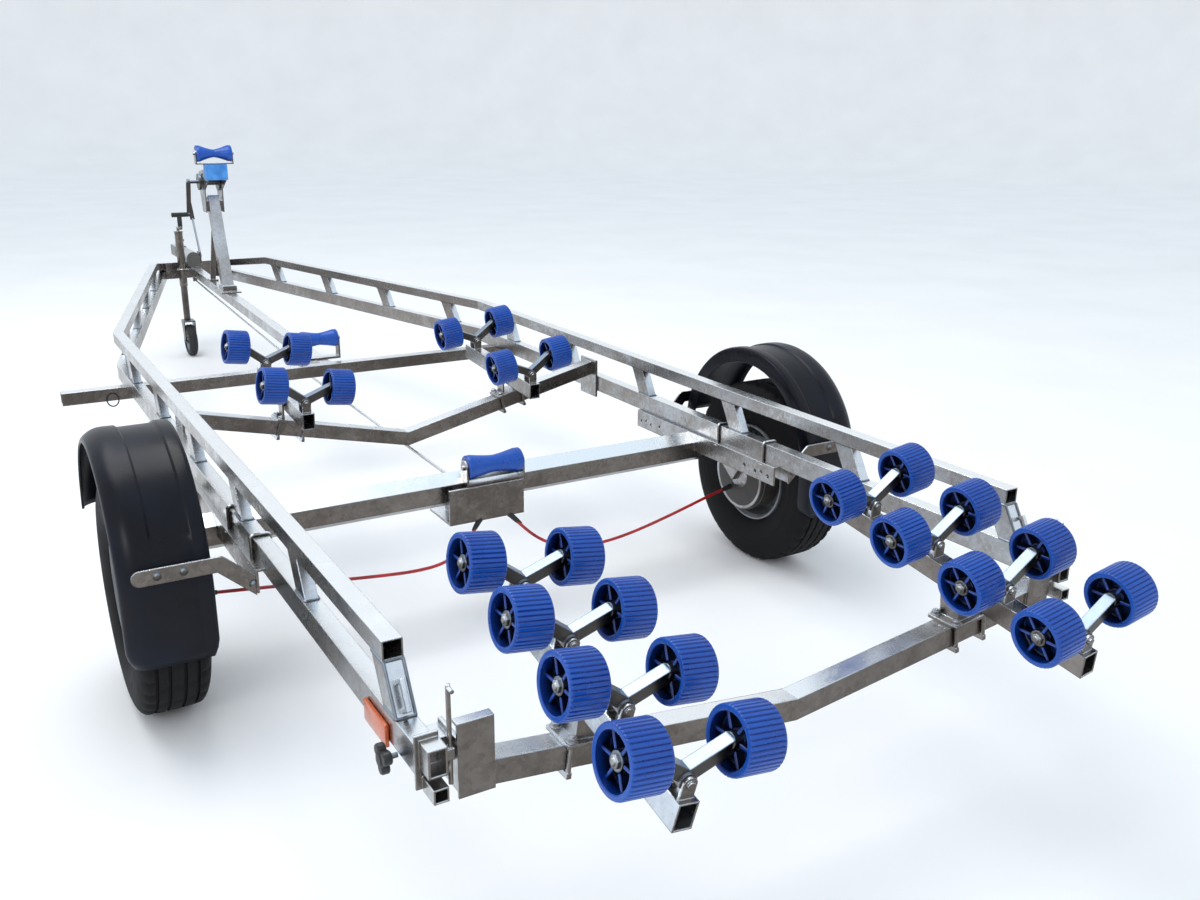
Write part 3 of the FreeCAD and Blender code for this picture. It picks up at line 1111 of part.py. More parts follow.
# ---------------------------------------------------------------- pieces
def build():
    """Every node's shape by name, in the wheel-line frame."""
    nodes = {}

    def both(name, right):
        nodes["right_" + name] = right
        nodes["left_" + name] = mirror(right)

    both("rail", right_rail())
    nodes["front_cross_member"] = front_cross_member()
    nodes["front_v_member"] = front_v_beam()
    nodes["rear_v_member"] = rear_v_beam()
    nodes["axle"] = axle_beam()
    nodes["drawbar"] = drawbar_beam()
    nodes["coupling"] = coupling_head()
    nodes["handbrake"] = handbrake_lever()
    nodes["brake_gear"] = brake_gear()
    for name, route in (("left_brake_cable", LEFT_CABLE), ("right_brake_cable", RIGHT_CABLE)):
        tube, radii, ratio = cord(route, CABLE_R)
        nodes[name] = tube
        print(name, "arc radii", radii, "volume ratio", round(ratio, 4))
    both("mudguard", mudguard())
    nodes["mudguard_stays"] = mudguard_stays()
    sockets = lamp_arm_socket()
    nodes["lamp_arm_sockets"] = Part.makeCompound([sockets, mirror(sockets)])

    nodes["right_tyre"], nodes["left_tyre"] = tyre(1), tyre(-1)
    nodes["right_rim"], nodes["left_rim"] = rim(1), rim(-1)

    rear_place, front_place = rear_bunk_placement(), front_bunk_placement()
    rear_body, rear_spots = bunk_body(REAR_BUNK_FRONT_Y, REAR_BUNK_REAR_Y, REAR_MID_Y,
                                      REAR_BUNK_PIVOTS, REAR_BUNK_SLOPE_DEG)
    rear_body = placed(rear_body, rear_place)
    front_body, front_spots = front_bunk_body()
    both("rear_bunk", rear_body)
    both("front_bunk", front_body)
    v_outlines = [v_outline(REAR_V_Y, REAR_V_TOP, REAR_V_DEG),
                  v_outline(FRONT_V_Y, FRONT_V_TOP, FRONT_V_DEG)]
    bunk_slab = placed(beam((0, -400, -PIVOT_HEIGHT - BUNK_H / 2), (0, 400, -PIVOT_HEIGHT - BUNK_H / 2),
                            BUNK_W, BUNK_H), rear_place)
    clamps = [rear_bunk_clamp(bunk_slab, v_outlines[0]), front_swing_bracket(v_outlines[1])]
    nodes["bunk_mounts"] = Part.makeCompound(clamps + [mirror(c) for c in clamps])

    arm, rollers = rocker(), Part.makeCompound(roller_pair())
    for row, place, spots, tilt in (("rear", rear_place, rear_spots, 0.0),
                                    ("front", front_place, front_spots, FRONT_ROCKER_TILT_DEG)):
        for i, spot in enumerate(spots, 1):
            for kind, shape in (("rocker", arm), ("rollers", rollers)):
                local = moved(turned(shape, (0, 0, 0), (0, 1, 0), -tilt), (0, spot, 0))
                both(f"{row}_{kind}_{i}", placed(local, place))

    nodes["axle_keel_roller"] = keel_roller(*AXLE_KEEL)
    nodes["drawbar_keel_roller"] = keel_roller(*DRAWBAR_KEEL)
    keel_y = DRAWBAR_KEEL[1]
    brackets = [keel_bracket(*AXLE_KEEL, AXLE_KEEL_SEAT, hexagon(AXLE_FLATS, -WHEEL_X, WHEEL_X)),
                keel_bracket(*DRAWBAR_KEEL, DRAWBAR_KEEL_SEAT, drawbar_solid(keel_y - 90, keel_y + 90))]
    nodes["keel_brackets"] = Part.makeCompound(brackets)

    nodes["winch_post"] = winch_post()
    nodes["winch_drum"] = winch_drum()
    nodes["snubber_block"] = snubber_block()
    nodes["bow_roller"] = bow_roller()
    nodes["jockey_outer"] = jockey_outer()
    nodes["jockey_inner"] = jockey_inner()
    nodes["jockey_fork"] = jockey_fork()
    nodes["jockey_wheel"] = jockey_wheel()
    return nodes


def export(nodes):
    os.makedirs("parts", exist_ok=True)
    for name, shape in nodes.items():
        copy = moved(shape, (0, -DATUM_Y, 0))
        if not copy.isValid():
            print("not valid:", name)
        copy.exportStep(f"parts/{name}.step")
    print(len(nodes), "nodes written")


if __name__ == "__main__":
    export(build())
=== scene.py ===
# %% [markdown]
# # A braked boat trailer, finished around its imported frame
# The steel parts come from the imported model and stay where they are. This lesson adds what the
# plain solids lack: ribbed rollers, moulded mudguards, treaded tyres, bolts, and a finish for each
# surface. Blender's lengths are metres. Names ending in MM, profile tables and the places given to
# at() are in millimetres.

# %% Load the frame
import json
from math import cos, pi, radians, sin

import bmesh
import bpy
from mathutils import Matrix, Vector


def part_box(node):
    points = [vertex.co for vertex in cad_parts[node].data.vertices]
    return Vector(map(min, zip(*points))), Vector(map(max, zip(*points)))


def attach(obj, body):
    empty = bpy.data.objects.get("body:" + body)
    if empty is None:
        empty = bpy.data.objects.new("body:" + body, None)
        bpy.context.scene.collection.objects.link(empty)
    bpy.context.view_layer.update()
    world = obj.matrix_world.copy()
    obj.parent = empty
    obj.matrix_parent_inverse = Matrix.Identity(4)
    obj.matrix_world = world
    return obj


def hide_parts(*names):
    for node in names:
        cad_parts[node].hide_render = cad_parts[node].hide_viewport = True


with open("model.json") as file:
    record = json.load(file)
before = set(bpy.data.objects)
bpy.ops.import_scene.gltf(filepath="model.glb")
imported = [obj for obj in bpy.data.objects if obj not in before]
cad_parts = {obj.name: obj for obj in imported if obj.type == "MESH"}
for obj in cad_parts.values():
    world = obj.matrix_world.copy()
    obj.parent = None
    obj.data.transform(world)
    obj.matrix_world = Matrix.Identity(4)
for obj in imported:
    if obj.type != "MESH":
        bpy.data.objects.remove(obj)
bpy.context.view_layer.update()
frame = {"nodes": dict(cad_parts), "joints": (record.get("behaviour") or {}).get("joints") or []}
SCENE = bpy.context.scene
SCENE.view_settings.view_transform = "Standard"
JOINTS = {joint["name"]: joint for joint in frame["joints"]}
MM = 0.001
SIDES = (("left", -1), ("right", 1))

# %% [markdown]
# ## Colours and nodes
# Paint charts and screens give colours as sRGB hex, while Cycles works with linear light, so one
# function turns the first into the second. Another adds a shader node with its settings and its
# links, so that each finish below reads as a short recipe.


# %% Helpers for finishes
def rgb(code):
    """Linear RGBA of an sRGB hex colour."""
    parts = [int(code[i:i + 2], 16) / 255 for i in (1, 3, 5)]
    return (*[c / 12.92 if c <= 0.04045 else ((c + 0.055) / 1.055) ** 2.4 for c in parts], 1.0)


def add(tree, kind, inputs=None, **settings):
    """Adds one node; an input is a value or another node's output socket."""
    made = tree.nodes.new("ShaderNode" + kind)
    for name, value in settings.items():
        setattr(made, name, value)
    for name, value in (inputs or {}).items():
        socket = made.inputs[name]
        if isinstance(value, bpy.types.NodeSocket):
            tree.links.new(value, socket)
        else:
            socket.default_value = value
    return made


def new_material(name):
    """Empty material with its output, and the object coordinates in metres."""
    material = bpy.data.materials.new(name)
    material.use_nodes = True
    tree = material.node_tree
    tree.nodes.clear()
    place = add(tree, "TexCoord").outputs["Object"]
    return material, tree, place


def close(tree, shader):
    """Joins a finished shader to the material's output."""
    add(tree, "OutputMaterial", {"Surface": shader.outputs[0]})


def ramp(tree, value, *stops):
    """Colour ramp through (position, hex colour) stops."""
    made = add(tree, "ValToRGB", {"Fac": value})
    elements = made.color_ramp.elements
    while len(elements) < len(stops):
        elements.new(1.0)
    for element, (position, code) in zip(elements, stops):
        element.position = position
        element.color = rgb(code)
    return made.outputs["Color"]


def per(size_mm):
    """Texture scale that repeats once in a real size in millimetres."""
    return 1000 / size_mm


# %% [markdown]
# ## Hot-dip galvanised steel
# Zinc freezes on the steel in leaf-shaped crystals, 8 to 15 mm across, that differ a little in
# shine. Upper faces are painted pale and cool as painted light; sides, undersides and above all
# the rear faces are painted a warmer, darker grey as painted shade and painted reflection. The
# normal's lean to the lit side chooses between them, and noise breaks the tone up. The Bevel node
# rounds the look of sharp corners, where real tube always has a radius.


# %% Galvanised finish
SPANGLE_MM = 11
PATCH_MM = 300
RUN_MM = 60
RUN_SHARE = 0.4
SPANGLE_SHARE = 0.1
NOISE_SHARE = 0.3
TUBE_CORNER_MM = 3.5
# Side the painted light comes from: faces turned to it are painted pale, others darker as painted
# shade.
PAINTED_LIGHT_SIDE = (0.0, 0.3, 1.0)


def galvanised(name, under, side, slope, top, roughness):
    """Zinc with crystals and softened corners, in four tones from painted shade below to painted
    light on top.
    """
    material, tree, place = new_material(name)
    crystals = add(tree, "TexVoronoi", {"Vector": place, "Scale": per(SPANGLE_MM)})
    grain = add(tree, "SeparateColor", {"Color": crystals.outputs["Color"]}).outputs["Red"]
    patches = add(tree, "TexNoise", {"Vector": place, "Scale": per(PATCH_MM), "Detail": 4.0})
    runs = add(tree, "TexNoise", {"Vector": place, "Scale": per(RUN_MM), "Detail": 5.0})
    tone = add(tree, "Mix", {"Factor": RUN_SHARE, "A": patches.outputs["Fac"],
                             "B": runs.outputs["Fac"]}, data_type="FLOAT").outputs["Result"]
    tone = add(tree, "Mix", {"Factor": SPANGLE_SHARE, "A": tone, "B": grain},
               data_type="FLOAT").outputs["Result"]
    corner = add(tree, "Bevel", {"Radius": TUBE_CORNER_MM * MM}, samples=5).outputs["Normal"]
    # How far the normal leans to the painted light's side.
    lit_share = add(tree, "VectorMath", operation="DOT_PRODUCT")
    tree.links.new(corner, lit_share.inputs[0])
    lit_share.inputs[1].default_value = PAINTED_LIGHT_SIDE
    lit_share = add(tree, "MapRange", {"Value": lit_share.outputs["Value"], "From Min": -0.6,
                                    "From Max": 1.0},
                 interpolation_type="SMOOTHSTEP").outputs["Result"]
    mixed = add(tree, "Mix", {"Factor": NOISE_SHARE, "A": lit_share, "B": tone},
                data_type="FLOAT").outputs["Result"]
    # Ramp from painted shade on undersides and sides to painted light on slopes and tops.
    colour = ramp(tree, mixed, (0.18, under), (0.34, side), (0.50, slope), (0.66, top))
    rough = add(tree, "MapRange", {"Value": tone, "From Min": 0.3, "From Max": 0.7,
                                   "To Min": roughness + 0.1, "To Max": roughness - 0.06})
    relief = add(tree, "Bump", {"Height": runs.outputs["Fac"], "Strength": 0.2, "Distance": 0.0008,
                                "Normal": corner})
    close(tree, add(tree, "BsdfPrincipled", {"Base Color": colour, "Metallic": 1.0,
                                             "Roughness": rough.outputs["Result"],
                                             "Normal": relief.outputs["Normal"]}))
    return material


# Each zinc's four tones run from painted shade under a part to painted light on its top.
GALVANISED = galvanised("galvanised_steel_hot_dip",
                        "#5c554f", "#918b86", "#d3dde8", "#f9fdff", 0.25)
BRIGHT_ZINC = galvanised("zinc_plated_steel_bright",
                         "#4a4643", "#746e69", "#8b949e", "#97a5b4", 0.33)
DULL_ZINC = galvanised("galvanised_steel_dulled",
                       "#5a5856", "#84817e", "#aeb1b4", "#d2d6da", 0.38)
print("zinc finishes", GALVANISED.name, BRIGHT_ZINC.name, DULL_ZINC.name)

# %% [markdown]
# ## Cast polyurethane
# The rollers are cast in royal-blue polyurethane. It is glossy, with faint scuffs round the tread
# where boats have run over it. Hollows get little light, so ambient occlusion finds the spoked ends
# and the grooves, and a ramp darkens them as painted shade.


# %% Roller finish
SCUFF_MM = 70
# How far ambient occlusion reaches when it finds the painted shade.
SHADE_REACH_MM = 45
SCUFF_SHARE = 0.16


def cast_polyurethane():
    """Cast urethane: deep glossy blue, scuffed, with painted shade in its hollows."""
    material, tree, place = new_material("polyurethane_cast_blue")
    scuffs = add(tree, "TexNoise", {"Vector": place, "Scale": per(SCUFF_MM),
                                    "Detail": 4.0}).outputs["Fac"]
    # Ambient occlusion: the ramp turns its low values nearly black, as painted shade in the hollows.
    painted_shade = add(tree, "AmbientOcclusion", {"Distance": SHADE_REACH_MM * MM}, samples=4).outputs["AO"]
    tone = add(tree, "Mix", {"Factor": SCUFF_SHARE, "A": painted_shade, "B": scuffs}, data_type="FLOAT")
    colour = ramp(tree, tone.outputs["Result"], (0.30, "#020716"), (0.55, "#04286c"),
                  (0.84, "#003590"), (0.96, "#0052b2"))
    gloss = add(tree, "MapRange", {"Value": scuffs, "From Min": 0.3, "From Max": 0.7,
                                   "To Min": 0.22, "To Max": 0.36})
    skin = add(tree, "TexNoise", {"Vector": place, "Scale": per(5), "Detail": 2.0})
    relief = add(tree, "Bump", {"Height": skin.outputs["Fac"], "Strength": 0.3,
                                "Distance": 0.1 * MM})
    close(tree, add(tree, "BsdfPrincipled", {"Base Color": colour, "IOR": 1.5,
                                             "Roughness": gloss.outputs["Result"],
                                             "Normal": relief.outputs["Normal"]}))
    return material


POLYURETHANE = cast_polyurethane()
print("roller finish", POLYURETHANE.name)


# %% [markdown]
# ## Moulded and sprayed finishes
# Black plastic, rubber, cable sheath and wheel enamel are all a skin over one body colour. They
# differ in colour, in gloss and in the size and depth of their grain, so one recipe with those
# numbers makes them all: a broad mottle for colour and gloss, and a fine noise for the skin.


# %% Plastic, rubber and paint finishes
def moulded(name, dark, light, roughness, mottle_mm, grain_mm, grain_depth_mm, ior=1.5, level=0.5):
    """Moulded polymer: mottled colour, uneven gloss and a fine skin texture."""
    material, tree, place = new_material(name)
    mottle = add(tree, "TexNoise", {"Vector": place, "Scale": per(mottle_mm), "Detail": 4.0})
    colour = ramp(tree, mottle.outputs["Fac"], (0.35, dark), (0.66, light))
    gloss = add(tree, "MapRange", {"Value": mottle.outputs["Fac"], "From Min": 0.3, "From Max": 0.7,
                                   "To Min": roughness - 0.05, "To Max": roughness + 0.1})
    skin = add(tree, "TexNoise", {"Vector": place, "Scale": per(grain_mm), "Detail": 2.0})
    relief = add(tree, "Bump", {"Height": skin.outputs["Fac"], "Strength": 0.35,
                                "Distance": grain_depth_mm * MM})
    close(tree, add(tree, "BsdfPrincipled", {"Base Color": colour, "IOR": ior,
                                             "Roughness": gloss.outputs["Result"],
                                             "Specular IOR Level": level,
                                             "Normal": relief.outputs["Normal"]}))
    return material


# Injection-moulded polypropylene: blue-black, satin, with a fine grain drawn coarser at 1.6 mm.
POLYPROPYLENE = moulded("polypropylene_moulded_black", "#07080e", "#101421", 0.29, 180, 1.6, 0.06,
                        level=0.2)
# Tyre tread compound: warm black and matt, with a dusty bloom.
TYRE_RUBBER = moulded("tyre_rubber_cured", "#0b0b0d", "#161517", 0.72, 60, 2.2, 0.15, ior=1.52,
                      level=0.2)
# Soft EPDM rubber of grips, gaiter and jockey tyre: matt black.
SOFT_RUBBER = moulded("epdm_rubber_black", "#121213", "#202022", 0.6, 40, 2.0, 0.1, ior=1.52)
# Glass-filled nylon of the star knob: black with a slight shine.
NYLON = moulded("nylon_moulded_black", "#0c0c0e", "#1b1b1f", 0.42, 30, 1.5, 0.08, ior=1.53)
# PVC sheath over the brake cables: glossy dark red.
PVC_SHEATH = moulded("pvc_extruded_red", "#8e1018", "#b81a20", 0.32, 50, 3.0, 0.03, ior=1.53)
# Thermoplastic rubber of the bow stop: pale sky blue, satin.
PALE_RUBBER = moulded("thermoplastic_rubber_pale_blue", "#2f76c4", "#4a93dc", 0.45, 40, 3.0, 0.1)
# Silver wheel enamel, sprayed over pressed steel: soft grey.
ENAMEL = moulded("wheel_enamel_silver", "#6f7276", "#8a8d91", 0.38, 90, 1.2, 0.03)
print("moulded finishes", POLYPROPYLENE.name, TYRE_RUBBER.name, SOFT_RUBBER.name, ENAMEL.name)


# %% [markdown]
# ## Moulded amber lens
# A side reflector is clear acrylic over a field of small cube corners that throw light back. The
# facets are about 3 mm wide, so a Voronoi pattern of that size breaks up the highlights.


# %% Amber lens
FACET_MM = 3.2


def amber_lens():
    """Amber acrylic over cube corners, with a clear outer face."""
    material, tree, place = new_material("acrylic_lens_amber")
    facets = add(tree, "TexVoronoi", {"Vector": place, "Scale": per(FACET_MM)}, distance="CHEBYCHEV")
    colour = ramp(tree, facets.outputs["Distance"], (0.1, "#e87018"), (0.6, "#b03c08"))
    relief = add(tree, "Bump", {"Height": facets.outputs["Distance"], "Strength": 0.6,
                                "Distance": 0.8 * MM})
    close(tree, add(tree, "BsdfPrincipled", {"Base Color": colour, "Roughness": 0.16, "IOR": 1.49,
                                             "Coat Weight": 0.6, "Coat Roughness": 0.04,
                                             "Normal": relief.outputs["Normal"]}))
    return material


AMBER = amber_lens()
print("lens", AMBER.name)


# %% [markdown]
# ## Making pieces
# Every new piece starts as a bmesh, is shaped by operators and ends as a mesh whose object stays at
# the origin. Round things are a profile spun round an axis, so a helper spins (along, radius) pairs
# round X and then sets the shape down on any axis.


# %% Helpers for meshes
SMOOTH_DEG = 34


def axis_matrix(centre, axis, turn=0.0):
    """Turns local X onto an axis, and moves the origin to a centre."""
    aim = Vector(axis).normalized().to_track_quat("X", "Z").to_matrix().to_4x4()
    return Matrix.Translation(Vector(centre)) @ aim @ Matrix.Rotation(turn, 4, "X")


def spun(bm, profile, steps, matrix=None, closed=True):
    """Spins (along, radius) pairs round X; a closed profile makes a ring with walls."""
    before = set(bm.verts)
    verts = [bm.verts.new((along, radius, 0)) for along, radius in profile]
    pairs = list(zip(verts, verts[1:])) + ([(verts[-1], verts[0])] if closed else [])
    edges = [bm.edges.new(pair) for pair in pairs]
    bmesh.ops.spin(bm, geom=verts + edges, cent=(0, 0, 0), axis=(1, 0, 0), angle=2 * pi,
                   steps=steps, use_merge=True)
    made = [v for v in bm.verts if v not in before]
    bmesh.ops.transform(bm, matrix=matrix or Matrix(), verts=made)
    return made


def piece(bm, name, body, material, smooth=SMOOTH_DEG):
    """Turns a bmesh into a named piece that rides on a body."""
    bmesh.ops.recalc_face_normals(bm, faces=bm.faces)
    mesh = bpy.data.meshes.new(name)
    bm.to_mesh(mesh)
    bm.free()
    mesh.shade_smooth()
    mesh.set_sharp_from_angle(angle=radians(smooth))
    mesh.materials.append(material)
    made = bpy.data.objects.new(name, mesh)
    SCENE.collection.objects.link(made)
    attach(made, body)
    return made


def rounded_box(bm, low, high, radius, matrix=None, segments=2):
    """Box between two corners with every edge rounded."""
    before = set(bm.verts)
    low, high = Vector(low), Vector(high)
    cube = bmesh.ops.create_cube(bm, size=1.0)["verts"]
    bmesh.ops.scale(bm, vec=high - low, verts=cube)
    bmesh.ops.translate(bm, vec=(low + high) / 2, verts=cube)
    edges = list({e for v in cube for e in v.link_edges})
    bmesh.ops.bevel(bm, geom=edges, offset=radius, segments=segments, profile=0.5,
                    affect="EDGES", material=-1)
    made = [v for v in bm.verts if v not in before]
    bmesh.ops.transform(bm, matrix=matrix or Matrix(), verts=made)
    return made


def refinish(material, slot, *names):
    """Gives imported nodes, whose shape is right already, a finish."""
    for name in names:
        node = frame["nodes"][name]
        node.data.materials.clear()
        node.data.materials.append(material)
    print(material.name, "on", len(names), "packed nodes")


def mid(node):
    """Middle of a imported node's box."""
    low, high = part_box(node)
    return (low + high) / 2


# %% [markdown]
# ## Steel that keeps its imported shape
# Tubes, brackets, rockers and clamps already have the right shape, so they only need their finish.
# The long frame is hot-dip galvanised; rockers and small bought-in pieces are zinc plated, which
# is a touch greyer.

# %% Finish the steel
refinish(GALVANISED, "galvanised_steel", "left_rail", "right_rail", "front_cross_member",
         "front_v_member", "rear_v_member", "axle", "drawbar", "brake_gear", "mudguard_stays",
         "lamp_arm_sockets", "left_rear_bunk", "right_rear_bunk", "left_front_bunk",
         "right_front_bunk", "bunk_mounts", "keel_brackets", "winch_post", "jockey_outer")
rockers = [name for name in frame["nodes"] if "_rocker_" in name]
refinish(BRIGHT_ZINC, "galvanised_steel", "winch_drum", "jockey_inner", "jockey_fork", "handbrake",
         *rockers)
refinish(DULL_ZINC, "zinc_coupling", "coupling")
refinish(ENAMEL, "grey_wheel_steel", "left_rim", "right_rim")
refinish(PALE_RUBBER, "pale_blue_rubber", "snubber_block")

# %% [markdown]
# ## Ribbed wobble rollers
# Each roller is a thick ring with forty ribs along its tread, hollow at both ends, where six spokes
# run from the hub to the ring. Half a lathe profile and its mirror are spun in four steps to a rib,
# and every fourth line of tread points is then pressed in to leave the ribs standing. A pair's
# joint says where its axis is.

# %% One roller
RIBS = 40
STEPS_PER_RIB = 4
RIB_DEPTH_MM = 1.8
TREAD_R_MM = 60.2
PAIR_SPACING_MM = 225
SPOKES = 6
SPOKE_AT_MM = 20
SPOKE_DEEP_MM = 18
SPOKE_FOOT_MM, SPOKE_HEAD_MM = 18, 48
SPOKE_THICK_MM = 6.4
ROLLER_SIDE = [(34, 61), (36.6, 60.4), (38.3, 58.8), (39, 56.4), (39, 51),
               (37.6, 49), (14, 46.5), (12, 44), (12, 21), (16, 20), (17, 18), (17, 12.6)]


def add_roller(bm, matrix):
    """One roller on local X, with a groove pressed in at every fourth column of points."""
    right = [(a * MM, r * MM) for a, r in ROLLER_SIDE]
    steps = RIBS * STEPS_PER_RIB
    made = spun(bm, right + [(-a, r) for a, r in reversed(right)], steps)
    for v in made:
        across = Vector((v.co.y, v.co.z))
        column = round(across.angle_signed(Vector((1, 0))) / (2 * pi / steps))
        if across.length > TREAD_R_MM * MM and column % STEPS_PER_RIB == 0:
            across *= 1 - RIB_DEPTH_MM * MM / across.length
            v.co.y, v.co.z = across
    half = Vector((SPOKE_DEEP_MM, 0, SPOKE_THICK_MM)) / 2
    for end in (-1, 1):
        low = Vector((end * SPOKE_AT_MM, SPOKE_FOOT_MM, 0)) - half
        high = Vector((end * SPOKE_AT_MM, SPOKE_HEAD_MM, 0)) + half
        for k in range(SPOKES):
            turn = Matrix.Rotation(2 * pi * k / SPOKES, 4, "X")
            made += rounded_box(bm, low * MM, high * MM, 1.2 * MM, turn, segments=1)
    bmesh.ops.transform(bm, matrix=matrix, verts=made)


def roller_pair(name):
    """Both rollers of a rocker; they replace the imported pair."""
    joint = JOINTS[name + "_spin"]
    axis, centre = Vector(joint["axis"]), Vector(joint["pos_m"])
    bm = bmesh.new()
    for side in (-0.5, 0.5):
        add_roller(bm, axis_matrix(centre + axis * side * PAIR_SPACING_MM * MM, axis))
    made = piece(bm, name + "_ribbed", name, POLYURETHANE)
    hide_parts(name)
    return made


pairs = [roller_pair(name) for name in sorted(frame["nodes"]) if "_rollers_" in name]
print("roller pairs", len(pairs), "faces each", len(pairs[0].data.polygons))

# %% [markdown]
# ## Keel and bow rollers
# These are waisted so that a keel centres itself. The waist is a smooth curve between two flared
# ends, with a small flat where the pin comes out.


# %% Waisted rollers
FLARE_AT = 0.8
WAIST_POWER = 1.35
WAISTED_STEPS = 64


def waisted(name, big_mm, small_mm):
    """Hourglass roller on X, spun from half a profile and its mirror."""
    low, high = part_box(name)
    half = (high.x - low.x) / MM / 2
    curve = [(half * t, small_mm + (big_mm - small_mm) * (t / FLARE_AT) ** WAIST_POWER)
             for t in (0, 0.1, 0.2, 0.32, 0.44, 0.56, 0.68, FLARE_AT)]
    right = curve + [(half * 0.84, big_mm), (half - 3, big_mm), (half - 0.8, big_mm - 1.4),
                     (half, big_mm - 3.4), (half, 18), (half - 2, 16), (half - 2, 8.2)]
    profile = [(a * MM, r * MM) for a, r in right]
    profile += [(-a, r) for a, r in reversed(profile[1:])]
    bm = bmesh.new()
    spun(bm, profile, WAISTED_STEPS, axis_matrix(mid(name), (1, 0, 0)))
    made = piece(bm, name + "_moulded", name, POLYURETHANE)
    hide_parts(name)
    print(made.name, "length", round(half * 2), "mm")


waisted("axle_keel_roller", 38, 27)
waisted("drawbar_keel_roller", 38, 27)
waisted("bow_roller", 44, 21)

# %% [markdown]
# ## Tyres
# A van-type trailer tyre: four grooves run round the tread, the shoulders are cut into blocks, and
# the sidewall swells between the bead and the shoulder with two moulded lines. The profile is spun,
# and the blocks are made by pressing in the shoulder points at even steps.

# %% Tyre profile and tread
TYRE_STEPS = 156
BORE_MM = (60, 173.5)
SHOULDER_MM = (54.5, 311)
SHOULDER_EVERY, SHOULDER_DEEP_MM = 4, 5.5
MIDDLE_MM = (44, 318)
MIDDLE_EVERY, MIDDLE_DEEP_MM = 6, 3.0
SIDEWALL = [(60, 172), (66, 174), (72, 178), (79, 188), (86, 203), (90, 218), (92.6, 232),
            (92.8, 240), (91.8, 242), (92.4, 246), (91.6, 262), (91.0, 264), (91.0, 268),
            (89.6, 280), (86, 294), (81, 305), (76, 312.5), (70.5, 317.4)]
TREAD = [(66, 319.6), (60, 320.8), (55, 321.2), (53.4, 321.2), (52.6, 314.6), (46.4, 314.6),
         (45.6, 321.6), (40, 321.8), (24, 322), (22.6, 322), (21.8, 315), (15.2, 315),
         (14.4, 322), (8, 322)]


def tread_shrink(v):
    """How far a point goes in: slots between shoulder blocks, and sipes across the middle."""
    along = abs(v.co.x) / MM
    across = Vector((v.co.y, v.co.z))
    radius = across.length / MM
    column = round(across.angle_signed(Vector((1, 0))) / (2 * pi / TYRE_STEPS))
    if along > SHOULDER_MM[0] and radius > SHOULDER_MM[1] and column % SHOULDER_EVERY == 0:
        return 1 - SHOULDER_DEEP_MM / radius
    if along < MIDDLE_MM[0] and radius > MIDDLE_MM[1] and column % MIDDLE_EVERY == 0:
        return 1 - MIDDLE_DEEP_MM / radius
    return 1


def tyre(side):
    """One treaded tyre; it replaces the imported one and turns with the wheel."""
    joint = JOINTS[side + "_wheel_spin"]
    half = [(a * MM, r * MM) for a, r in SIDEWALL + TREAD]
    bore = [(end * BORE_MM[0] * MM, BORE_MM[1] * MM) for end in (-1, 1)]
    bm = bmesh.new()
    made = spun(bm, half + [(-a, r) for a, r in reversed(half)] + bore, TYRE_STEPS)
    for v in made:
        shrink = tread_shrink(v)
        v.co.y *= shrink
        v.co.z *= shrink
    bmesh.ops.transform(bm, matrix=axis_matrix(joint["pos_m"], (1, 0, 0)), verts=made)
    made = piece(bm, side + "_tyre_treaded", side + "_wheel", TYRE_RUBBER, smooth=28)
    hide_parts(side + "_tyre")
    return made


for side, _ in SIDES:
    print("tyre", len(tyre(side).data.polygons), "faces")


# %% [markdown]
# ## Wheel nuts and hub caps
# Five nuts hold each wheel, and a pressed grease cap closes the hub. A nut is a six-sided cone
# primitive with its outer edge chamfered. The nuts of one wheel are one piece, because they turn
# together.


# %% Hexagon nuts
WASHER_MM = 2.2
AXIS_R = 0.1 * MM


def add_nut(bm, centre, axis, flats_mm, height_mm, washer=True, stud_mm=0.0, turn=0.0):
    """Hexagon nut on a washer, with the end of its stud, standing on a point along an axis."""
    matrix = axis_matrix(centre, axis, turn)
    corner = flats_mm * MM / 2 / cos(pi / 6)
    lift = 0.0
    if washer:
        lift = WASHER_MM * MM
        spun(bm, [(0, AXIS_R), (0, corner * 1.28), (1.2 * MM, corner * 1.3),
                  (lift, corner * 1.25), (lift, AXIS_R)], 24, matrix, closed=False)
    height = height_mm * MM
    before = set(bm.verts)
    block = bmesh.ops.create_cone(bm, cap_ends=True, segments=6, radius1=corner, radius2=corner,
                                  depth=height)["verts"]
    rim = {e for v in block for e in v.link_edges
           if all(p.co.z > height / 2 - 1e-6 for p in e.verts)}
    bmesh.ops.bevel(bm, geom=list(rim), offset=corner * 0.12, segments=2, profile=0.5,
                    affect="EDGES", material=-1)
    stand = Matrix.Translation((lift + height / 2, 0, 0)) @ Matrix.Rotation(pi / 2, 4, "Y")
    bmesh.ops.transform(bm, matrix=matrix @ stand, verts=[v for v in bm.verts if v not in before])
    if stud_mm:
        stud = corner * 0.52
        tip = lift + height + stud_mm * MM
        spun(bm, [(lift, stud), (tip - 1 * MM, stud), (tip, stud * 0.86), (tip, AXIS_R)], 16,
             matrix, closed=False)


WHEEL_NUTS = 5
NUT_CIRCLE_R_MM = 50
NUT_SEAT_MM, CAP_SEAT_MM = 18, 30
GREASE_CAP = [(0, 34.5), (14, 34.5), (22, 32), (30, 26), (34, 16), (35.2, 0.1)]


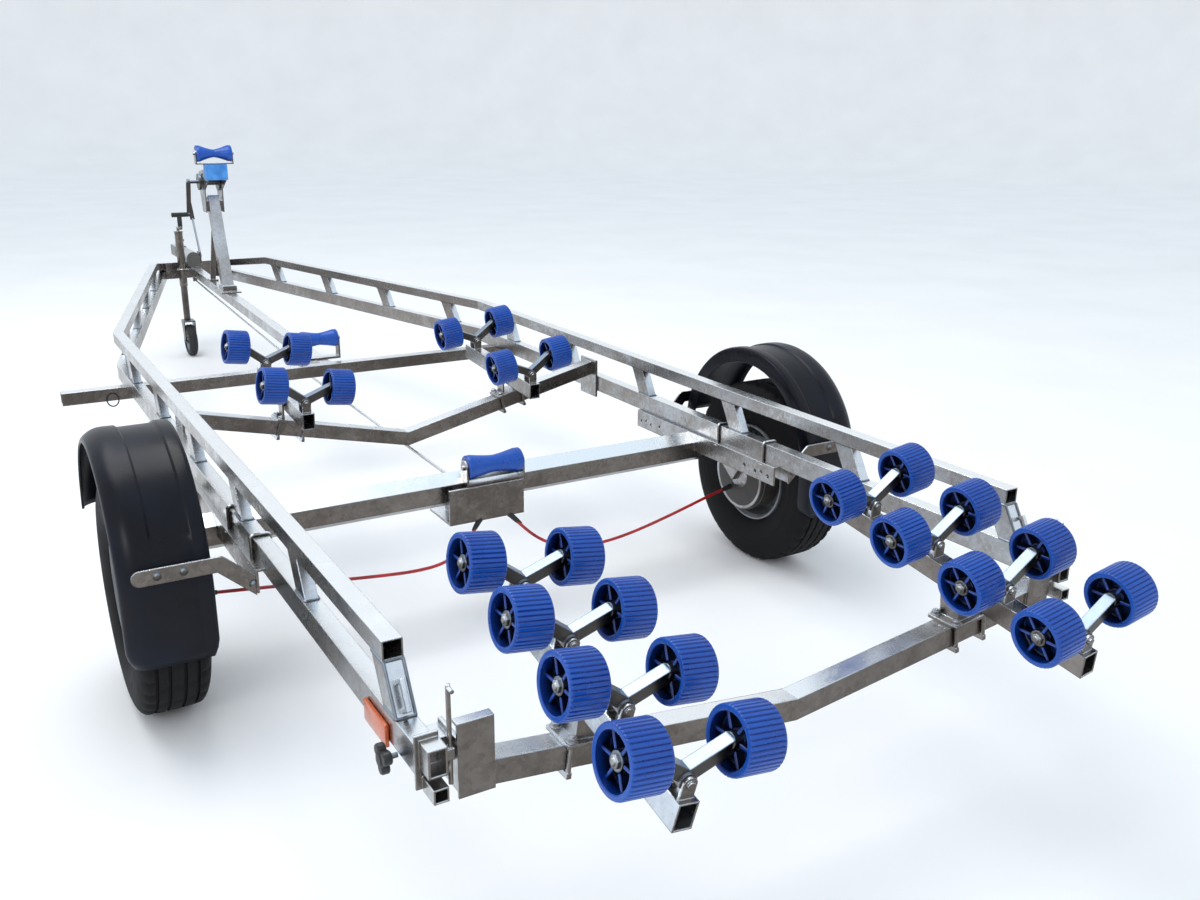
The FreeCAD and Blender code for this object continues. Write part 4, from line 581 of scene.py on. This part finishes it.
def wheel_trim(side, sign):
    """Nuts and grease cap on the outer face of one wheel."""
    hub = Vector(JOINTS[side + "_wheel_spin"]["pos_m"])
    outward = Vector((sign, 0, 0))
    bm = bmesh.new()
    for k in range(WHEEL_NUTS):
        a = 2 * pi * k / WHEEL_NUTS + 0.3
        spot = Vector((sign * NUT_SEAT_MM, NUT_CIRCLE_R_MM * sin(a), NUT_CIRCLE_R_MM * cos(a)))
        add_nut(bm, hub + spot * MM, outward, 19, 12, stud_mm=3)
    spun(bm, [(a * MM, r * MM) for a, r in GREASE_CAP], 40,
         axis_matrix(hub + outward * CAP_SEAT_MM * MM, outward), closed=False)
    return piece(bm, side + "_wheel_nuts", side + "_wheel", BRIGHT_ZINC)


for side, sign in SIDES:
    print(wheel_trim(side, sign).name)

# %% [markdown]
# ## Roller nuts
# A nut and washer hold each roller on its rocker's spigot, deep in the roller's hollow end. They
# ride on the rocker, because they do not turn with the roller.


# %% Nuts on the rocker spigots
SHOULDER_OUT_MM = 30


def spigot_nuts(name):
    """The two nuts of one rocker, just outside the hubs of its rollers."""
    rollers = name.replace("_rocker_", "_rollers_")
    joint = JOINTS[rollers + "_spin"]
    axis, centre = Vector(joint["axis"]), Vector(joint["pos_m"])
    bm = bmesh.new()
    for s in (-1, 1):
        shoulder = centre + axis * s * (PAIR_SPACING_MM / 2 + SHOULDER_OUT_MM) * MM
        add_nut(bm, shoulder, axis * s, 22, 5.5, washer=False, stud_mm=2.5, turn=0.4)
    return piece(bm, name + "_nuts", name, DULL_ZINC)


nuts = [spigot_nuts(name) for name in rockers]
print("spigot nut sets", len(nuts))

# %% [markdown]
# ## Mudguards
# Each guard is one polypropylene moulding. Across its width it has a turned-down inner edge, a
# sunken panel, a raised band and a rolled outer edge; along its length it arches over the tyre and
# ends in a straight flap. The cross-section is drawn once, spun round the arch's centre for the
# curve, and extruded straight down for the flap. Solidify then gives it its 3.6 mm wall.

# %% Mudguard shape
GUARD_SECTION = [(5, 54), (2.2, 52), (0.8, 46), (0.6, 22), (0.9, 9), (2.5, 4), (7, 1.2),
                 (12, 0.6), (34, 0.6), (38, 1.4), (43, 6.0), (70, 6.2), (110, 6.2), (128, 6.0),
                 (134, 0.6), (160, 0.0), (174, 0.8), (186, 4.0), (197, 9.5), (206, 16),
                 (212, 22), (215, 28), (216, 34), (213, 36), (209, 34)]
GUARD_R_MM = 355
# The arch stops 56 mm above the height of its centre, in front.
GUARD_SWEEP = pi - 0.158
GUARD_STEPS = 60
FLAP_STEPS = 8
WALL_MM = 3.6
PANEL_FROM_DEG = 24
PANEL_LOW_MM, PANEL_HIGH_MM = 38, 134
FLAT_DROP_MM = 0.4
CORNER_MM = 45
OUTER_CORNER_MM, OUTER_PINCH_MM = 150, 16
INNER_CORNER_MM, INNER_PINCH_MM = 30, 14


def shape_guard_point(v, sign, inner_x, cy, cz, floor_z):
    """Ends the sunken panel above the stay, and rounds the flap's lower corners."""
    across = sign * (v.co.x - inner_x) / MM
    radius = GUARD_R_MM * MM
    out = Vector((0, v.co.y - cy, v.co.z - cz))
    below = out.z < sin(radians(PANEL_FROM_DEG)) * radius and out.y < 0
    if below and PANEL_LOW_MM < across < PANEL_HIGH_MM and out.z > 1e-5:
        out = out.normalized() * (radius - FLAT_DROP_MM * MM)
        v.co.y, v.co.z = cy + out.y, cz + out.z
    elif below and PANEL_LOW_MM < across < PANEL_HIGH_MM:
        v.co.y = cy - radius + FLAT_DROP_MM * MM
    pinch = max(0.0, 1 - (v.co.z - floor_z) / MM / CORNER_MM) ** 2
    if across > OUTER_CORNER_MM:
        beyond = (across - OUTER_CORNER_MM) / (GUARD_SECTION[-3][0] - OUTER_CORNER_MM)
        v.co.x -= sign * OUTER_PINCH_MM * MM * pinch * beyond
    elif across < INNER_CORNER_MM:
        v.co.x += sign * INNER_PINCH_MM * MM * pinch * (1 - across / INNER_CORNER_MM)


def mudguard(side, sign):
    """One guard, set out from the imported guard's box, which it replaces."""
    low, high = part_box(side + "_mudguard")
    radius = GUARD_R_MM * MM
    cy, cz = low.y + radius, high.z - radius
    inner_x = low.x if sign > 0 else high.x
    bm = bmesh.new()
    row = [bm.verts.new((inner_x + sign * across * MM, cy - radius + drop * MM, cz))
           for across, drop in GUARD_SECTION]
    edges = [bm.edges.new(pair) for pair in zip(row, row[1:])]
    bmesh.ops.spin(bm, geom=row + edges, cent=(0, cy, cz), axis=(1, 0, 0), angle=-GUARD_SWEEP,
                   steps=GUARD_STEPS, use_merge=False)
    for _ in range(FLAP_STEPS):
        done = bmesh.ops.extrude_edge_only(bm, edges=edges)["geom"]
        moved = [g for g in done if isinstance(g, bmesh.types.BMVert)]
        edges = [g for g in done if isinstance(g, bmesh.types.BMEdge)
                 and all(v in moved for v in g.verts)]
        bmesh.ops.translate(bm, vec=(0, 0, -(cz - low.z) / FLAP_STEPS), verts=moved)
    for v in bm.verts:
        shape_guard_point(v, sign, inner_x, cy, cz, low.z)
    made = piece(bm, side + "_mudguard_moulded", "frame", POLYPROPYLENE, smooth=38)
    wall = made.modifiers.new("wall", "SOLIDIFY")
    wall.thickness = WALL_MM * MM
    wall.offset = -1.0
    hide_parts(side + "_mudguard")
    return made


for side, sign in SIDES:
    made = mudguard(side, sign)
    print(made.name, len(made.data.polygons), "faces")

# %% [markdown]
# ## Bent bar and weld beads
# Round bar bent to shape, and the beads a welder lays round a joint, are both a small circle carried
# along a flat path. The circle is made once; each next ring is extruded from the last and moved by
# the turn between the two places. Corners are rounded first, as a bender leaves them.


# %% Sweeping a circle along a path
STUB_TRAIL_MM = 75
AXLE_LINE = JOINTS["left_wheel_spin"]["pos_m"][1] + STUB_TRAIL_MM * MM


def at(x, y, z):
    """A point given in millimetres, with y measured from the axle beam, in the shared frame."""
    return Vector((x * MM, y * MM + AXLE_LINE, z * MM))


def rounded_path(corners, radius, steps=5):
    """Path through corner points, each inner corner turned by a short curve."""
    path = [corners[0]]
    for before, corner, after in zip(corners, corners[1:], corners[2:]):
        a = corner + (before - corner).normalized() * radius
        b = corner + (after - corner).normalized() * radius
        for k in range(steps + 1):
            t = k / steps
            path.append(a * (1 - t) ** 2 + corner * 2 * t * (1 - t) + b * t ** 2)
    return path + [corners[-1]]


def swept(bm, path, flat, radius, sides=10):
    """Carries a circle along a path that lies in one plane; flat is that plane's normal."""
    flat = Vector(flat).normalized()
    places = []
    for i, point in enumerate(path):
        ahead = (path[min(i + 1, len(path) - 1)] - path[max(i - 1, 0)]).normalized()
        turn = Matrix((flat.cross(ahead), flat, ahead)).transposed().to_4x4()
        places.append(Matrix.Translation(point) @ turn)
    ring = bmesh.ops.create_circle(bm, cap_ends=True, segments=sides, radius=radius,
                                   matrix=places[0])["verts"]
    edges = list({e for v in ring for e in v.link_edges})
    for here, there in zip(places, places[1:]):
        done = bmesh.ops.extrude_edge_only(bm, edges=edges)["geom"]
        ring = [g for g in done if isinstance(g, bmesh.types.BMVert)]
        edges = [g for g in done if isinstance(g, bmesh.types.BMEdge)
                 and all(v in ring for v in g.verts)]
        bmesh.ops.transform(bm, matrix=there @ here.inverted(), verts=ring)
    bmesh.ops.contextual_create(bm, geom=edges)


def add_dome(bm, centre, axis, radius_mm, height_mm):
    """Domed bolt head on a thin washer."""
    r, h = radius_mm * MM, height_mm * MM
    dome = [(h * (0.35 + 0.65 * sin(a)), r * cos(a)) for a in (0, 0.35, 0.7, 1.05, 1.35)]
    spun(bm, [(0, AXIS_R), (0, r * 1.35), (h * 0.3, r * 1.32), (h * 0.3, r), *dome, (h, AXIS_R)],
         20, axis_matrix(centre, axis), closed=False)


# %% [markdown]
# ## Weld beads on the ladder rails
# Nine leaning posts and an end post join the two tubes of each rail. A fillet weld runs all the way
# round each foot and head. The post's outline at the tube gives the bead's path.

# %% Rail welds
POST_Y_MM = [-708 + 560 * k for k in range(9)]
POST_HALF = (15, 34.6)
END_POST_Y_MM, END_POST_HALF = -1270, (18.5, 29)
END_SEAM_X_MM, END_SEAM_Y_MM = 18.6, -1301
LEAN_MM = 52.5
UPPER_WELD_Z, LOWER_WELD_Z = 620, 531
RAIL_X, BEND_Y, BEND = 815, 1830, radians(13.4)
BEAD_MM = 3.2


def post_ring(x, y, z, half, turn, sign):
    """A post's outline at one height, as a closed path, mirrored for the left side."""
    ring = []
    for i, j in ((-1, 0), (-1, 1), (1, 1), (1, -1), (-1, -1), (-1, 0)):
        dx, dy = i * (half[0] + 1), j * (half[1] + 1)
        ring.append(at(sign * (x + dx * cos(turn) - dy * sin(turn)),
                       y + dx * sin(turn) + dy * cos(turn), z))
    return rounded_path(ring, 4 * MM, 3)


def post_welds(bm, x, y, half, turn, sign):
    """Beads round a post's head and, further back by its lean, round its foot."""
    head = post_ring(x, y, UPPER_WELD_Z, half, turn, sign)
    foot = post_ring(x + LEAN_MM * sin(turn), y - LEAN_MM * cos(turn), LOWER_WELD_Z, half, turn, sign)
    for ring in (head, foot):
        swept(bm, ring, (0, 0, 1), BEAD_MM * MM, 6)


def rail_welds(side, sign):
    """All beads of one rail, with two seams up the rear face of its end post."""
    bm = bmesh.new()
    for y in POST_Y_MM:
        x = RAIL_X - max(0, y - BEND_Y) * sin(BEND) / cos(BEND)
        post_welds(bm, x, y, POST_HALF, BEND if y > BEND_Y else 0, sign)
    post_welds(bm, RAIL_X, END_POST_Y_MM, END_POST_HALF, 0, sign)
    for edge in (-END_SEAM_X_MM, END_SEAM_X_MM):
        x = sign * (RAIL_X + edge)
        seam = [at(x, END_SEAM_Y_MM, UPPER_WELD_Z + 1),
                at(x, END_SEAM_Y_MM - LEAN_MM, LOWER_WELD_Z - 1)]
        swept(bm, seam, (sign, 0, 0), BEAD_MM * MM, 6)
    return piece(bm, side + "_rail_welds", "frame", BRIGHT_ZINC)


for side, sign in SIDES:
    print(side, "weld faces", len(rail_welds(side, sign).data.polygons))

# %% [markdown]
# ## U-bolts, clamp nuts and stay bolts
# Two U-bolts a side hold the axle's channel up against each low tube: bent round bar with nuts below
# the shelf. The V members' clamps get nuts on their U-bolts, and each mudguard stay two domed bolts
# where it holds the guard and one at its foot.

# %% Fasteners
U_BOLT_Y = (-360, -118)
U_BAR_MM = 4.5
U_LEG_END_Z = 446
TUBE_HALF_MM = 20
SHELF_UNDER_Z = 464
LOW_TUBE_TOP_Z = 530


def rail_u_bolts(side, sign):
    """Two U-bolts over one low tube, with four nuts under the axle's shelf."""
    bm = bmesh.new()
    reach = TUBE_HALF_MM + U_BAR_MM
    inner, outer = RAIL_X - reach, RAIL_X + reach
    top = LOW_TUBE_TOP_Z + U_BAR_MM
    for y in U_BOLT_Y:
        corners = [at(sign * x, y, z) for x, z in ((inner, U_LEG_END_Z), (inner, top),
                                                   (outer, top), (outer, U_LEG_END_Z))]
        swept(bm, rounded_path(corners, 10 * MM), (0, 1, 0), U_BAR_MM * MM)
        for x in (inner, outer):
            add_nut(bm, at(sign * x, y, SHELF_UNDER_Z), (0, 0, -1), 17, 9)
    return piece(bm, side + "_rail_u_bolts", "frame", GALVANISED)


# Middle x, y, z of a clamp's plate, and the slope of the member under it in degrees.
CLAMPS = ((502.4, -1440, 447.9, 6.8), (424, 755, 498.9, 13.0))
LEG_DX, LEG_DY, PLATE_MM = 44, 30.3, 8


def clamp_nuts(side, sign):
    """Four nuts on each clamp plate of one side, square to the sloping members."""
    bm = bmesh.new()
    for x, y, z, slope in CLAMPS:
        tilt = radians(slope)
        along, up = Vector((cos(tilt), 0, sin(tilt))), Vector((-sin(tilt), 0, cos(tilt)))
        for i in (-LEG_DX, LEG_DX):
            for j in (-LEG_DY, LEG_DY):
                spot = Vector((x, y + j, z)) + along * i + up * PLATE_MM
                add_nut(bm, at(sign * spot.x, spot.y, spot.z), (sign * up.x, 0, up.z), 17, 8)
    return piece(bm, side + "_clamp_nuts", "frame", DULL_ZINC)


# Way the stay's face looks along y, then its y and the height of its guard bolts.
STAYS = ((-1, -425, 501), (1, 296, 520))
GUARD_BOLT_X = (1074, 1014)
FOOT_BOLT_X, FOOT_BOLT_Z = 858, 436


def stay_bolts(side, sign):
    """Domed bolts of one side's two mudguard stays."""
    bm = bmesh.new()
    for way, y, z in STAYS:
        for x in GUARD_BOLT_X:
            add_dome(bm, at(sign * x, y, z), (0, way, 0), 8, 6)
        add_dome(bm, at(sign * FOOT_BOLT_X, y, FOOT_BOLT_Z), (sign * 0.67, way * 0.1, 0.74), 8, 6)
    return piece(bm, side + "_stay_bolts", "frame", BRIGHT_ZINC)


for side, sign in SIDES:
    for make in (rail_u_bolts, clamp_nuts, stay_bolts):
        print(make(side, sign).name)

# %% [markdown]
# ## Reflectors and lamp-arm knobs
# An amber reflector sits on the outer face of each low tube near the rear. Behind it a three-lobed
# knob pinches the lamp arm in the tube: a nylon hub with three round lobes on a threaded stud.

# %% Reflectors and knobs
REFLECTOR_Y, REFLECTOR_Z = (-1318, -1202), (458, 504)
REFLECTOR_X = (835.2, 843.5)
KNOB_X, STUD_X = 852, 834.6
KNOB_Y, KNOB_Z = -1352, 462
LOBE_OUT_MM = 18.5
LOBE = [(0, 0.1), (0, 10.5), (2, 12.5), (13, 12.5), (16, 10.5), (17.2, 0.1)]
KNOB_HUB = [(-4, 0.1), (-4, 11), (0, 14.5), (14, 16), (19, 12), (20.5, 0.1)]
STUD = [(0, 0.1), (0, 5.2), (16, 5.2), (16, 0.1)]


def reflector(side, sign):
    """Amber block with rounded edges on the outer face of the low tube."""
    ends = sorted(sign * x for x in REFLECTOR_X)
    low = at(ends[0], REFLECTOR_Y[0], REFLECTOR_Z[0])
    high = at(ends[1], REFLECTOR_Y[1], REFLECTOR_Z[1])
    bm = bmesh.new()
    rounded_box(bm, low, high, 2.8 * MM, segments=3)
    return piece(bm, side + "_side_reflector", "frame", AMBER)


def star_knob(side, sign):
    """Nylon knob with three lobes, on a stud that is a piece of its own."""
    lobe, hub, stud = ([(a * MM, r * MM) for a, r in shape] for shape in (LOBE, KNOB_HUB, STUD))
    outer = axis_matrix(at(sign * KNOB_X, KNOB_Y, KNOB_Z), (sign, 0, 0))
    bm = bmesh.new()
    for k in range(3):
        turn = Matrix.Rotation(2 * pi * k / 3 + 0.5, 4, "X")
        spun(bm, lobe, 24, outer @ turn @ Matrix.Translation((0, LOBE_OUT_MM * MM, 0)),
             closed=False)
    spun(bm, hub, 32, outer, closed=False)
    knob = piece(bm, side + "_lamp_arm_knob", "frame", NYLON)
    bm = bmesh.new()
    spun(bm, stud, 16, axis_matrix(at(sign * STUD_X, KNOB_Y, KNOB_Z), (sign, 0, 0)), closed=False)
    piece(bm, side + "_lamp_arm_stud", "frame", BRIGHT_ZINC)
    return knob


for side, sign in SIDES:
    print(reflector(side, sign).name, star_knob(side, sign).name)

# %% [markdown]
# ## Lamp lead under the marker arm
# A short spare loop of black lead hangs from the rear face of the marker arm, ready for a lamp. It
# is a thin round section carried round a ring, whose upper part lies against that face.

# %% Lamp lead
LEAD_AT = (-886, 1657, 424)
LOOP_MM, LOOP_STRETCH = 22, 1.2
LEAD_MM = 2.6
LOOP_STEPS = 24


def lead_loop():
    """Thin ring, a little taller than it is wide."""
    x, y, z = LEAD_AT
    turns = [2 * pi * k / LOOP_STEPS + pi / 2 for k in range(LOOP_STEPS + 1)]
    loop = [at(x + LOOP_MM * cos(a), y, z + LOOP_MM * sin(a) * LOOP_STRETCH) for a in turns]
    bm = bmesh.new()
    swept(bm, loop, (0, 1, 0), LEAD_MM * MM, 8)
    return piece(bm, "marker_arm_lead_loop", "frame", SOFT_RUBBER)


print(lead_loop().name)

# %% [markdown]
# ## Gaiter and grips
# The rubber gaiter of the overrun coupling folds like a bellows, so its profile steps in and out.
# The handbrake, the winch crank and the jockey wheel's handle have ribbed rubber grips, each a
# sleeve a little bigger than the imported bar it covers.


# %% Bellows and grips
STEPS_PER_FOLD = 4
LEVER_TOP = at(56, 4610, 842.5)
LEVER_WAY = Vector((0, 150, 235)).normalized()
# Name, body, start, end, radius in mm, number of folds, depth of a fold in mm.
SLEEVES = (("coupling_gaiter_folds", "frame", at(0, 4689, 607.5), at(0, 4781, 607.5), 40, 6, 5.0),
           ("handbrake_grip_sleeve", "frame", LEVER_TOP - LEVER_WAY * 10 * MM,
            LEVER_TOP + LEVER_WAY * 100.5 * MM, 14.5, 7, 1.2),
           ("jockey_grip_sleeve", "frame", at(-80, 4305, 820), at(-80, 4305, 891.5), 14.5, 6, 1.2),
           ("winch_grip_sleeve", "winch_drum", at(-128, 3770, 942), at(-218.5, 3770, 942), 13.5, 6,
            1.2))


def sleeve(name, body, start, end, radius_mm, folds, depth_mm):
    """Ribbed sleeve from start to end, with rounded ends; each fold goes in by the depth."""
    length = (end - start).length
    waves = folds * STEPS_PER_FOLD
    outer, inner = radius_mm * MM, (radius_mm - 3) * MM
    rise = [(0, AXIS_R), (0, inner), (2 * MM, outer)]
    for k in range(waves + 1):
        dip = depth_mm * MM * (1 - cos(2 * pi * k / STEPS_PER_FOLD)) / 2
        rise.append((4 * MM + (length - 8 * MM) * k / waves, outer - dip))
    rise += [(length - 2 * MM, outer), (length, inner), (length, AXIS_R)]
    bm = bmesh.new()
    spun(bm, rise, 36, axis_matrix(start, end - start), closed=False)
    return piece(bm, name, body, SOFT_RUBBER, smooth=60)


print([sleeve(*row).name for row in SLEEVES])

# %% [markdown]
# ## Jockey wheel
# A solid rubber tyre on a pressed centre. The tyre is replaced by a rounder profile with a tread
# line, and the centre by two dished plates.

# %% Jockey wheel tyre and centre
JOCKEY_TYRE = [(9, 62), (23, 63), (25.5, 67), (26.6, 76), (26, 86), (23, 93), (17, 97.6), (9, 99.6),
               (7, 99.6), (6, 98), (0, 98)]
JOCKEY_DISC = [(27.5, 7), (27.5, 15), (25, 17.5), (12, 20), (9, 30), (11, 50), (18, 59), (20, 63),
               (17, 63.5), (6, 63.5)]


def jockey_wheel():
    """Tyre and centre of the small wheel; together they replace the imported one."""
    wheel_axis = axis_matrix(mid("jockey_wheel"), (1, 0, 0))
    bm = bmesh.new()
    half = [(a * MM, r * MM) for a, r in JOCKEY_TYRE]
    spun(bm, half + [(-a, r) for a, r in reversed(half[:-1])], 64, wheel_axis)
    rubber = piece(bm, "jockey_wheel_tyre", "jockey_wheel", SOFT_RUBBER)
    bm = bmesh.new()
    half = [(a * MM, r * MM) for a, r in JOCKEY_DISC]
    spun(bm, half + [(-a, r) for a, r in reversed(half)], 48, wheel_axis)
    disc = piece(bm, "jockey_wheel_centre", "jockey_wheel", BRIGHT_ZINC)
    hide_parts("jockey_wheel")
    return rubber, disc


print([made.name for made in jockey_wheel()])

# %% [markdown]
# ## Brake drums
# A cast-iron drum sits inside each wheel. Its back edge carries a raised rib, and bare iron soon
# dulls to a dark grey-brown, so it reads as a shadow behind the bright rim. A closed profile is
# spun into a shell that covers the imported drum.

# %% Drum shells
DRUM_IRON = moulded("cast_iron_weathered", "#262422", "#3b3632", 0.55, 40, 3.0, 0.25, ior=1.6)
DRUM_BACK_X = 921.2
WHEEL_Z_MM = 322
DRUM_STEPS = 64
DRUM_PROFILE = [(0, 48), (0, 112), (2, 118), (2, 123), (5, 126.6), (16, 126.6), (18, 130), (24, 130),
                (26, 126.6), (82, 126.6), (82, 125.3), (1.2, 125.3), (1.2, 48)]


def drum_shell(side, sign):
    """Iron shell over one packed drum, on the wheel's axis."""
    back = at(sign * DRUM_BACK_X, -STUB_TRAIL_MM, WHEEL_Z_MM)
    bm = bmesh.new()
    spun(bm, [(a * MM, r * MM) for a, r in DRUM_PROFILE], DRUM_STEPS,
         axis_matrix(back, (sign, 0, 0)))
    return piece(bm, side + "_brake_drum_shell", "frame", DRUM_IRON)


for side, sign in SIDES:
    print(drum_shell(side, sign).name)

# %% [markdown]
# ## Brake cables
# Two steel cables in red sheaths run from the equaliser to the drums. They are stiff, held at both
# ends and sag a little between, so each is one smooth curve: a NURBS spline whose control points
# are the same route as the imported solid's. A short black boot covers each end.

# %% Cable routes
LEFT_ROUTE = ((-60, -25, 321), (-110, -70, 287), (-170, -100, 253), (-232, -108, 231),
              (-318, -106, 227), (-420, -104, 235), (-540, -100, 247), (-660, -92, 258),
              (-770, -76, 264), (-850, -54, 264), (-923, -30, 262))
RIGHT_ROUTE = ((40, -25, 321), (72, -66, 279), (118, -96, 239), (178, -112, 211), (252, -118, 197),
               (340, -116, 193), (436, -112, 201), (540, -108, 219), (650, -100, 240),
               (748, -82, 254), (838, -56, 260), (923, -30, 262))
CABLE_MM = 10
BOOT = [(0, 5.5), (0, 9.5), (6, 9.8), (8, 8.8), (30, 8.2), (50, 6.4), (52, 5.5)]


def centre_line(curve_object):
    """Points of a curve without thickness, in order, as Blender draws it."""
    bpy.context.view_layer.update()
    drawn = curve_object.evaluated_get(bpy.context.evaluated_depsgraph_get())
    flat = bpy.data.meshes.new_from_object(drawn)
    points = [v.co.copy() for v in flat.vertices]
    bpy.data.meshes.remove(flat)
    return points


def cable_boots(side, line):
    """Tapered black boots over the two ends of a cable."""
    bm = bmesh.new()
    inward = len(line) // 10
    for tip, other in ((line[0], line[inward]), (line[-1], line[-1 - inward])):
        spun(bm, [(a * MM, r * MM) for a, r in BOOT], 20, axis_matrix(tip, other - tip))
    return piece(bm, side + "_brake_cable_boots", "frame", SOFT_RUBBER)


def cable(side, route):
    """One sheathed cable through its route, with its boots; returns its length."""
    name = side + "_brake_cable"
    points = [at(*point) for point in route]
    curve = bpy.data.curves.new(name + "_sheath", "CURVE")
    curve.dimensions = "3D"
    spline = curve.splines.new("NURBS")
    spline.points.add(len(points) - 1)
    for spot, point in zip(spline.points, points):
        spot.co = (*point, 1.0)
    spline.order_u = 3
    spline.use_endpoint_u = True
    curve.resolution_u = 12
    sheath = bpy.data.objects.new(name + "_sheath", curve)
    SCENE.collection.objects.link(sheath)
    line = centre_line(sheath)
    length = sum((b - a).length for a, b in zip(line, line[1:]))
    curve.bevel_depth = CABLE_MM / 2 * MM
    curve.bevel_resolution = 5
    curve.use_fill_caps = True
    curve.materials.append(PVC_SHEATH)
    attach(sheath, "frame")
    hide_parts(name)
    boots = cable_boots(side, line)
    return length


for side, route in (("left", LEFT_ROUTE), ("right", RIGHT_ROUTE)):
    print(side, "cable", round(cable(side, route), 3), "m")

# %% [markdown]
# ## Camera
# The camera stands behind and to the left of the trailer, at about the height of a person's eyes,
# and looks down along it.

# %% Camera
CAMERA_AT = Vector((-1.4095, -4.5823, 1.5695))
YAW, PITCH, ROLL = radians(30.995), radians(17.42), radians(0.52)
LENS_MM, SENSOR_MM = 33.07, 36.0
aim = Vector((sin(YAW) * cos(PITCH), cos(YAW) * cos(PITCH), -sin(PITCH)))
camera = bpy.data.objects.new("camera", bpy.data.cameras.new("camera"))
camera.data.lens = LENS_MM
camera.data.sensor_width = SENSOR_MM
camera.matrix_world = (Matrix.Translation(CAMERA_AT)
                       @ aim.to_track_quat("-Z", "Y").to_matrix().to_4x4()
                       @ Matrix.Rotation(ROLL, 4, "Z"))
SCENE.collection.objects.link(camera)
SCENE.camera = camera
print("camera", [round(c, 2) for c in CAMERA_AT], "lens", LENS_MM, "mm")

# %% [markdown]
# ## Floor and wall
# A round floor curves up into a pale wall, so that the zinc reflects white on every side and no
# line shows between the two. The profile is spun once; the paint has a faint uneven dust on it.

# %% Studio
STUDIO_R, COVE_R, WALL_H = 26.0, 5.0, 7.0
COVE_STEPS = 8
DUST_MM = 900


def studio_paint():
    """Matt white wall paint with faint dust."""
    material, tree, place = new_material("studio_paint_white")
    dust = add(tree, "TexNoise", {"Vector": place, "Scale": per(DUST_MM), "Detail": 3.0})
    colour = ramp(tree, dust.outputs["Fac"], (0.3, "#f4f4f4"), (0.7, "#f9f9f9"))
    close(tree, add(tree, "BsdfPrincipled", {"Base Color": colour, "Roughness": 0.9}))
    return material


def studio():
    """Floor, cove and wall as (height, radius) pairs spun round the vertical."""
    flat_r = STUDIO_R - COVE_R
    turns = [pi / 2 * k / COVE_STEPS for k in range(1, COVE_STEPS + 1)]
    profile = [(0.0, AXIS_R), (0.0, flat_r)]
    profile += [(COVE_R * (1 - cos(a)), flat_r + COVE_R * sin(a)) for a in turns]
    profile += [(WALL_H, STUDIO_R)]
    bm = bmesh.new()
    spun(bm, profile, 96, Matrix.Rotation(-pi / 2, 4, "Y"), closed=False)
    mesh = bpy.data.meshes.new("floor")
    bm.to_mesh(mesh)
    bm.free()
    mesh.shade_smooth()
    mesh.materials.append(studio_paint())
    floor = bpy.data.objects.new("floor", mesh)
    SCENE.collection.objects.link(floor)
    return floor


print(studio().name, STUDIO_R, "m in radius")

# %% [markdown]
# ## Lamps and air
# One large soft lamp hangs overhead and a weaker one stands behind the camera. The air itself
# glows, a little warm near the floor and cool above, which fills the shadows.


# %% Lamps and sky
def lamp(name, spot, towards, size, power):
    """Round area lamp, aimed at a point."""
    light = bpy.data.lights.new(name, "AREA")
    light.shape = "DISK"
    light.size = size
    light.energy = power
    made = bpy.data.objects.new(name, light)
    way = (Vector(towards) - Vector(spot)).to_track_quat("-Z", "Y").to_matrix().to_4x4()
    made.matrix_world = Matrix.Translation(Vector(spot)) @ way
    SCENE.collection.objects.link(made)


def air():
    """World light, coloured by height."""
    world = bpy.data.worlds.new("studio_air")
    world.use_nodes = True
    tree = world.node_tree
    tree.nodes.clear()
    ray = add(tree, "TexCoord").outputs["Generated"]
    height = add(tree, "SeparateXYZ", {"Vector": ray}).outputs["Z"]
    colour = ramp(tree, height, (0.0, "#f6efe9"), (0.3, "#f2f4f7"), (0.9, "#e2effb"))
    sky = add(tree, "Background", {"Color": colour, "Strength": 1.0})
    add(tree, "OutputWorld", {"Surface": sky.outputs[0]})
    return world


lamp("overhead", (-1.5, 0.5, 6.5), (0, 0, 0), 5.0, 230)
lamp("behind_camera", (-5.0, -7.0, 4.5), (0, 0, 0.5), 2.0, 70)
SCENE.world = air()
print("lamps", len(bpy.data.lights), "air", SCENE.world.name)
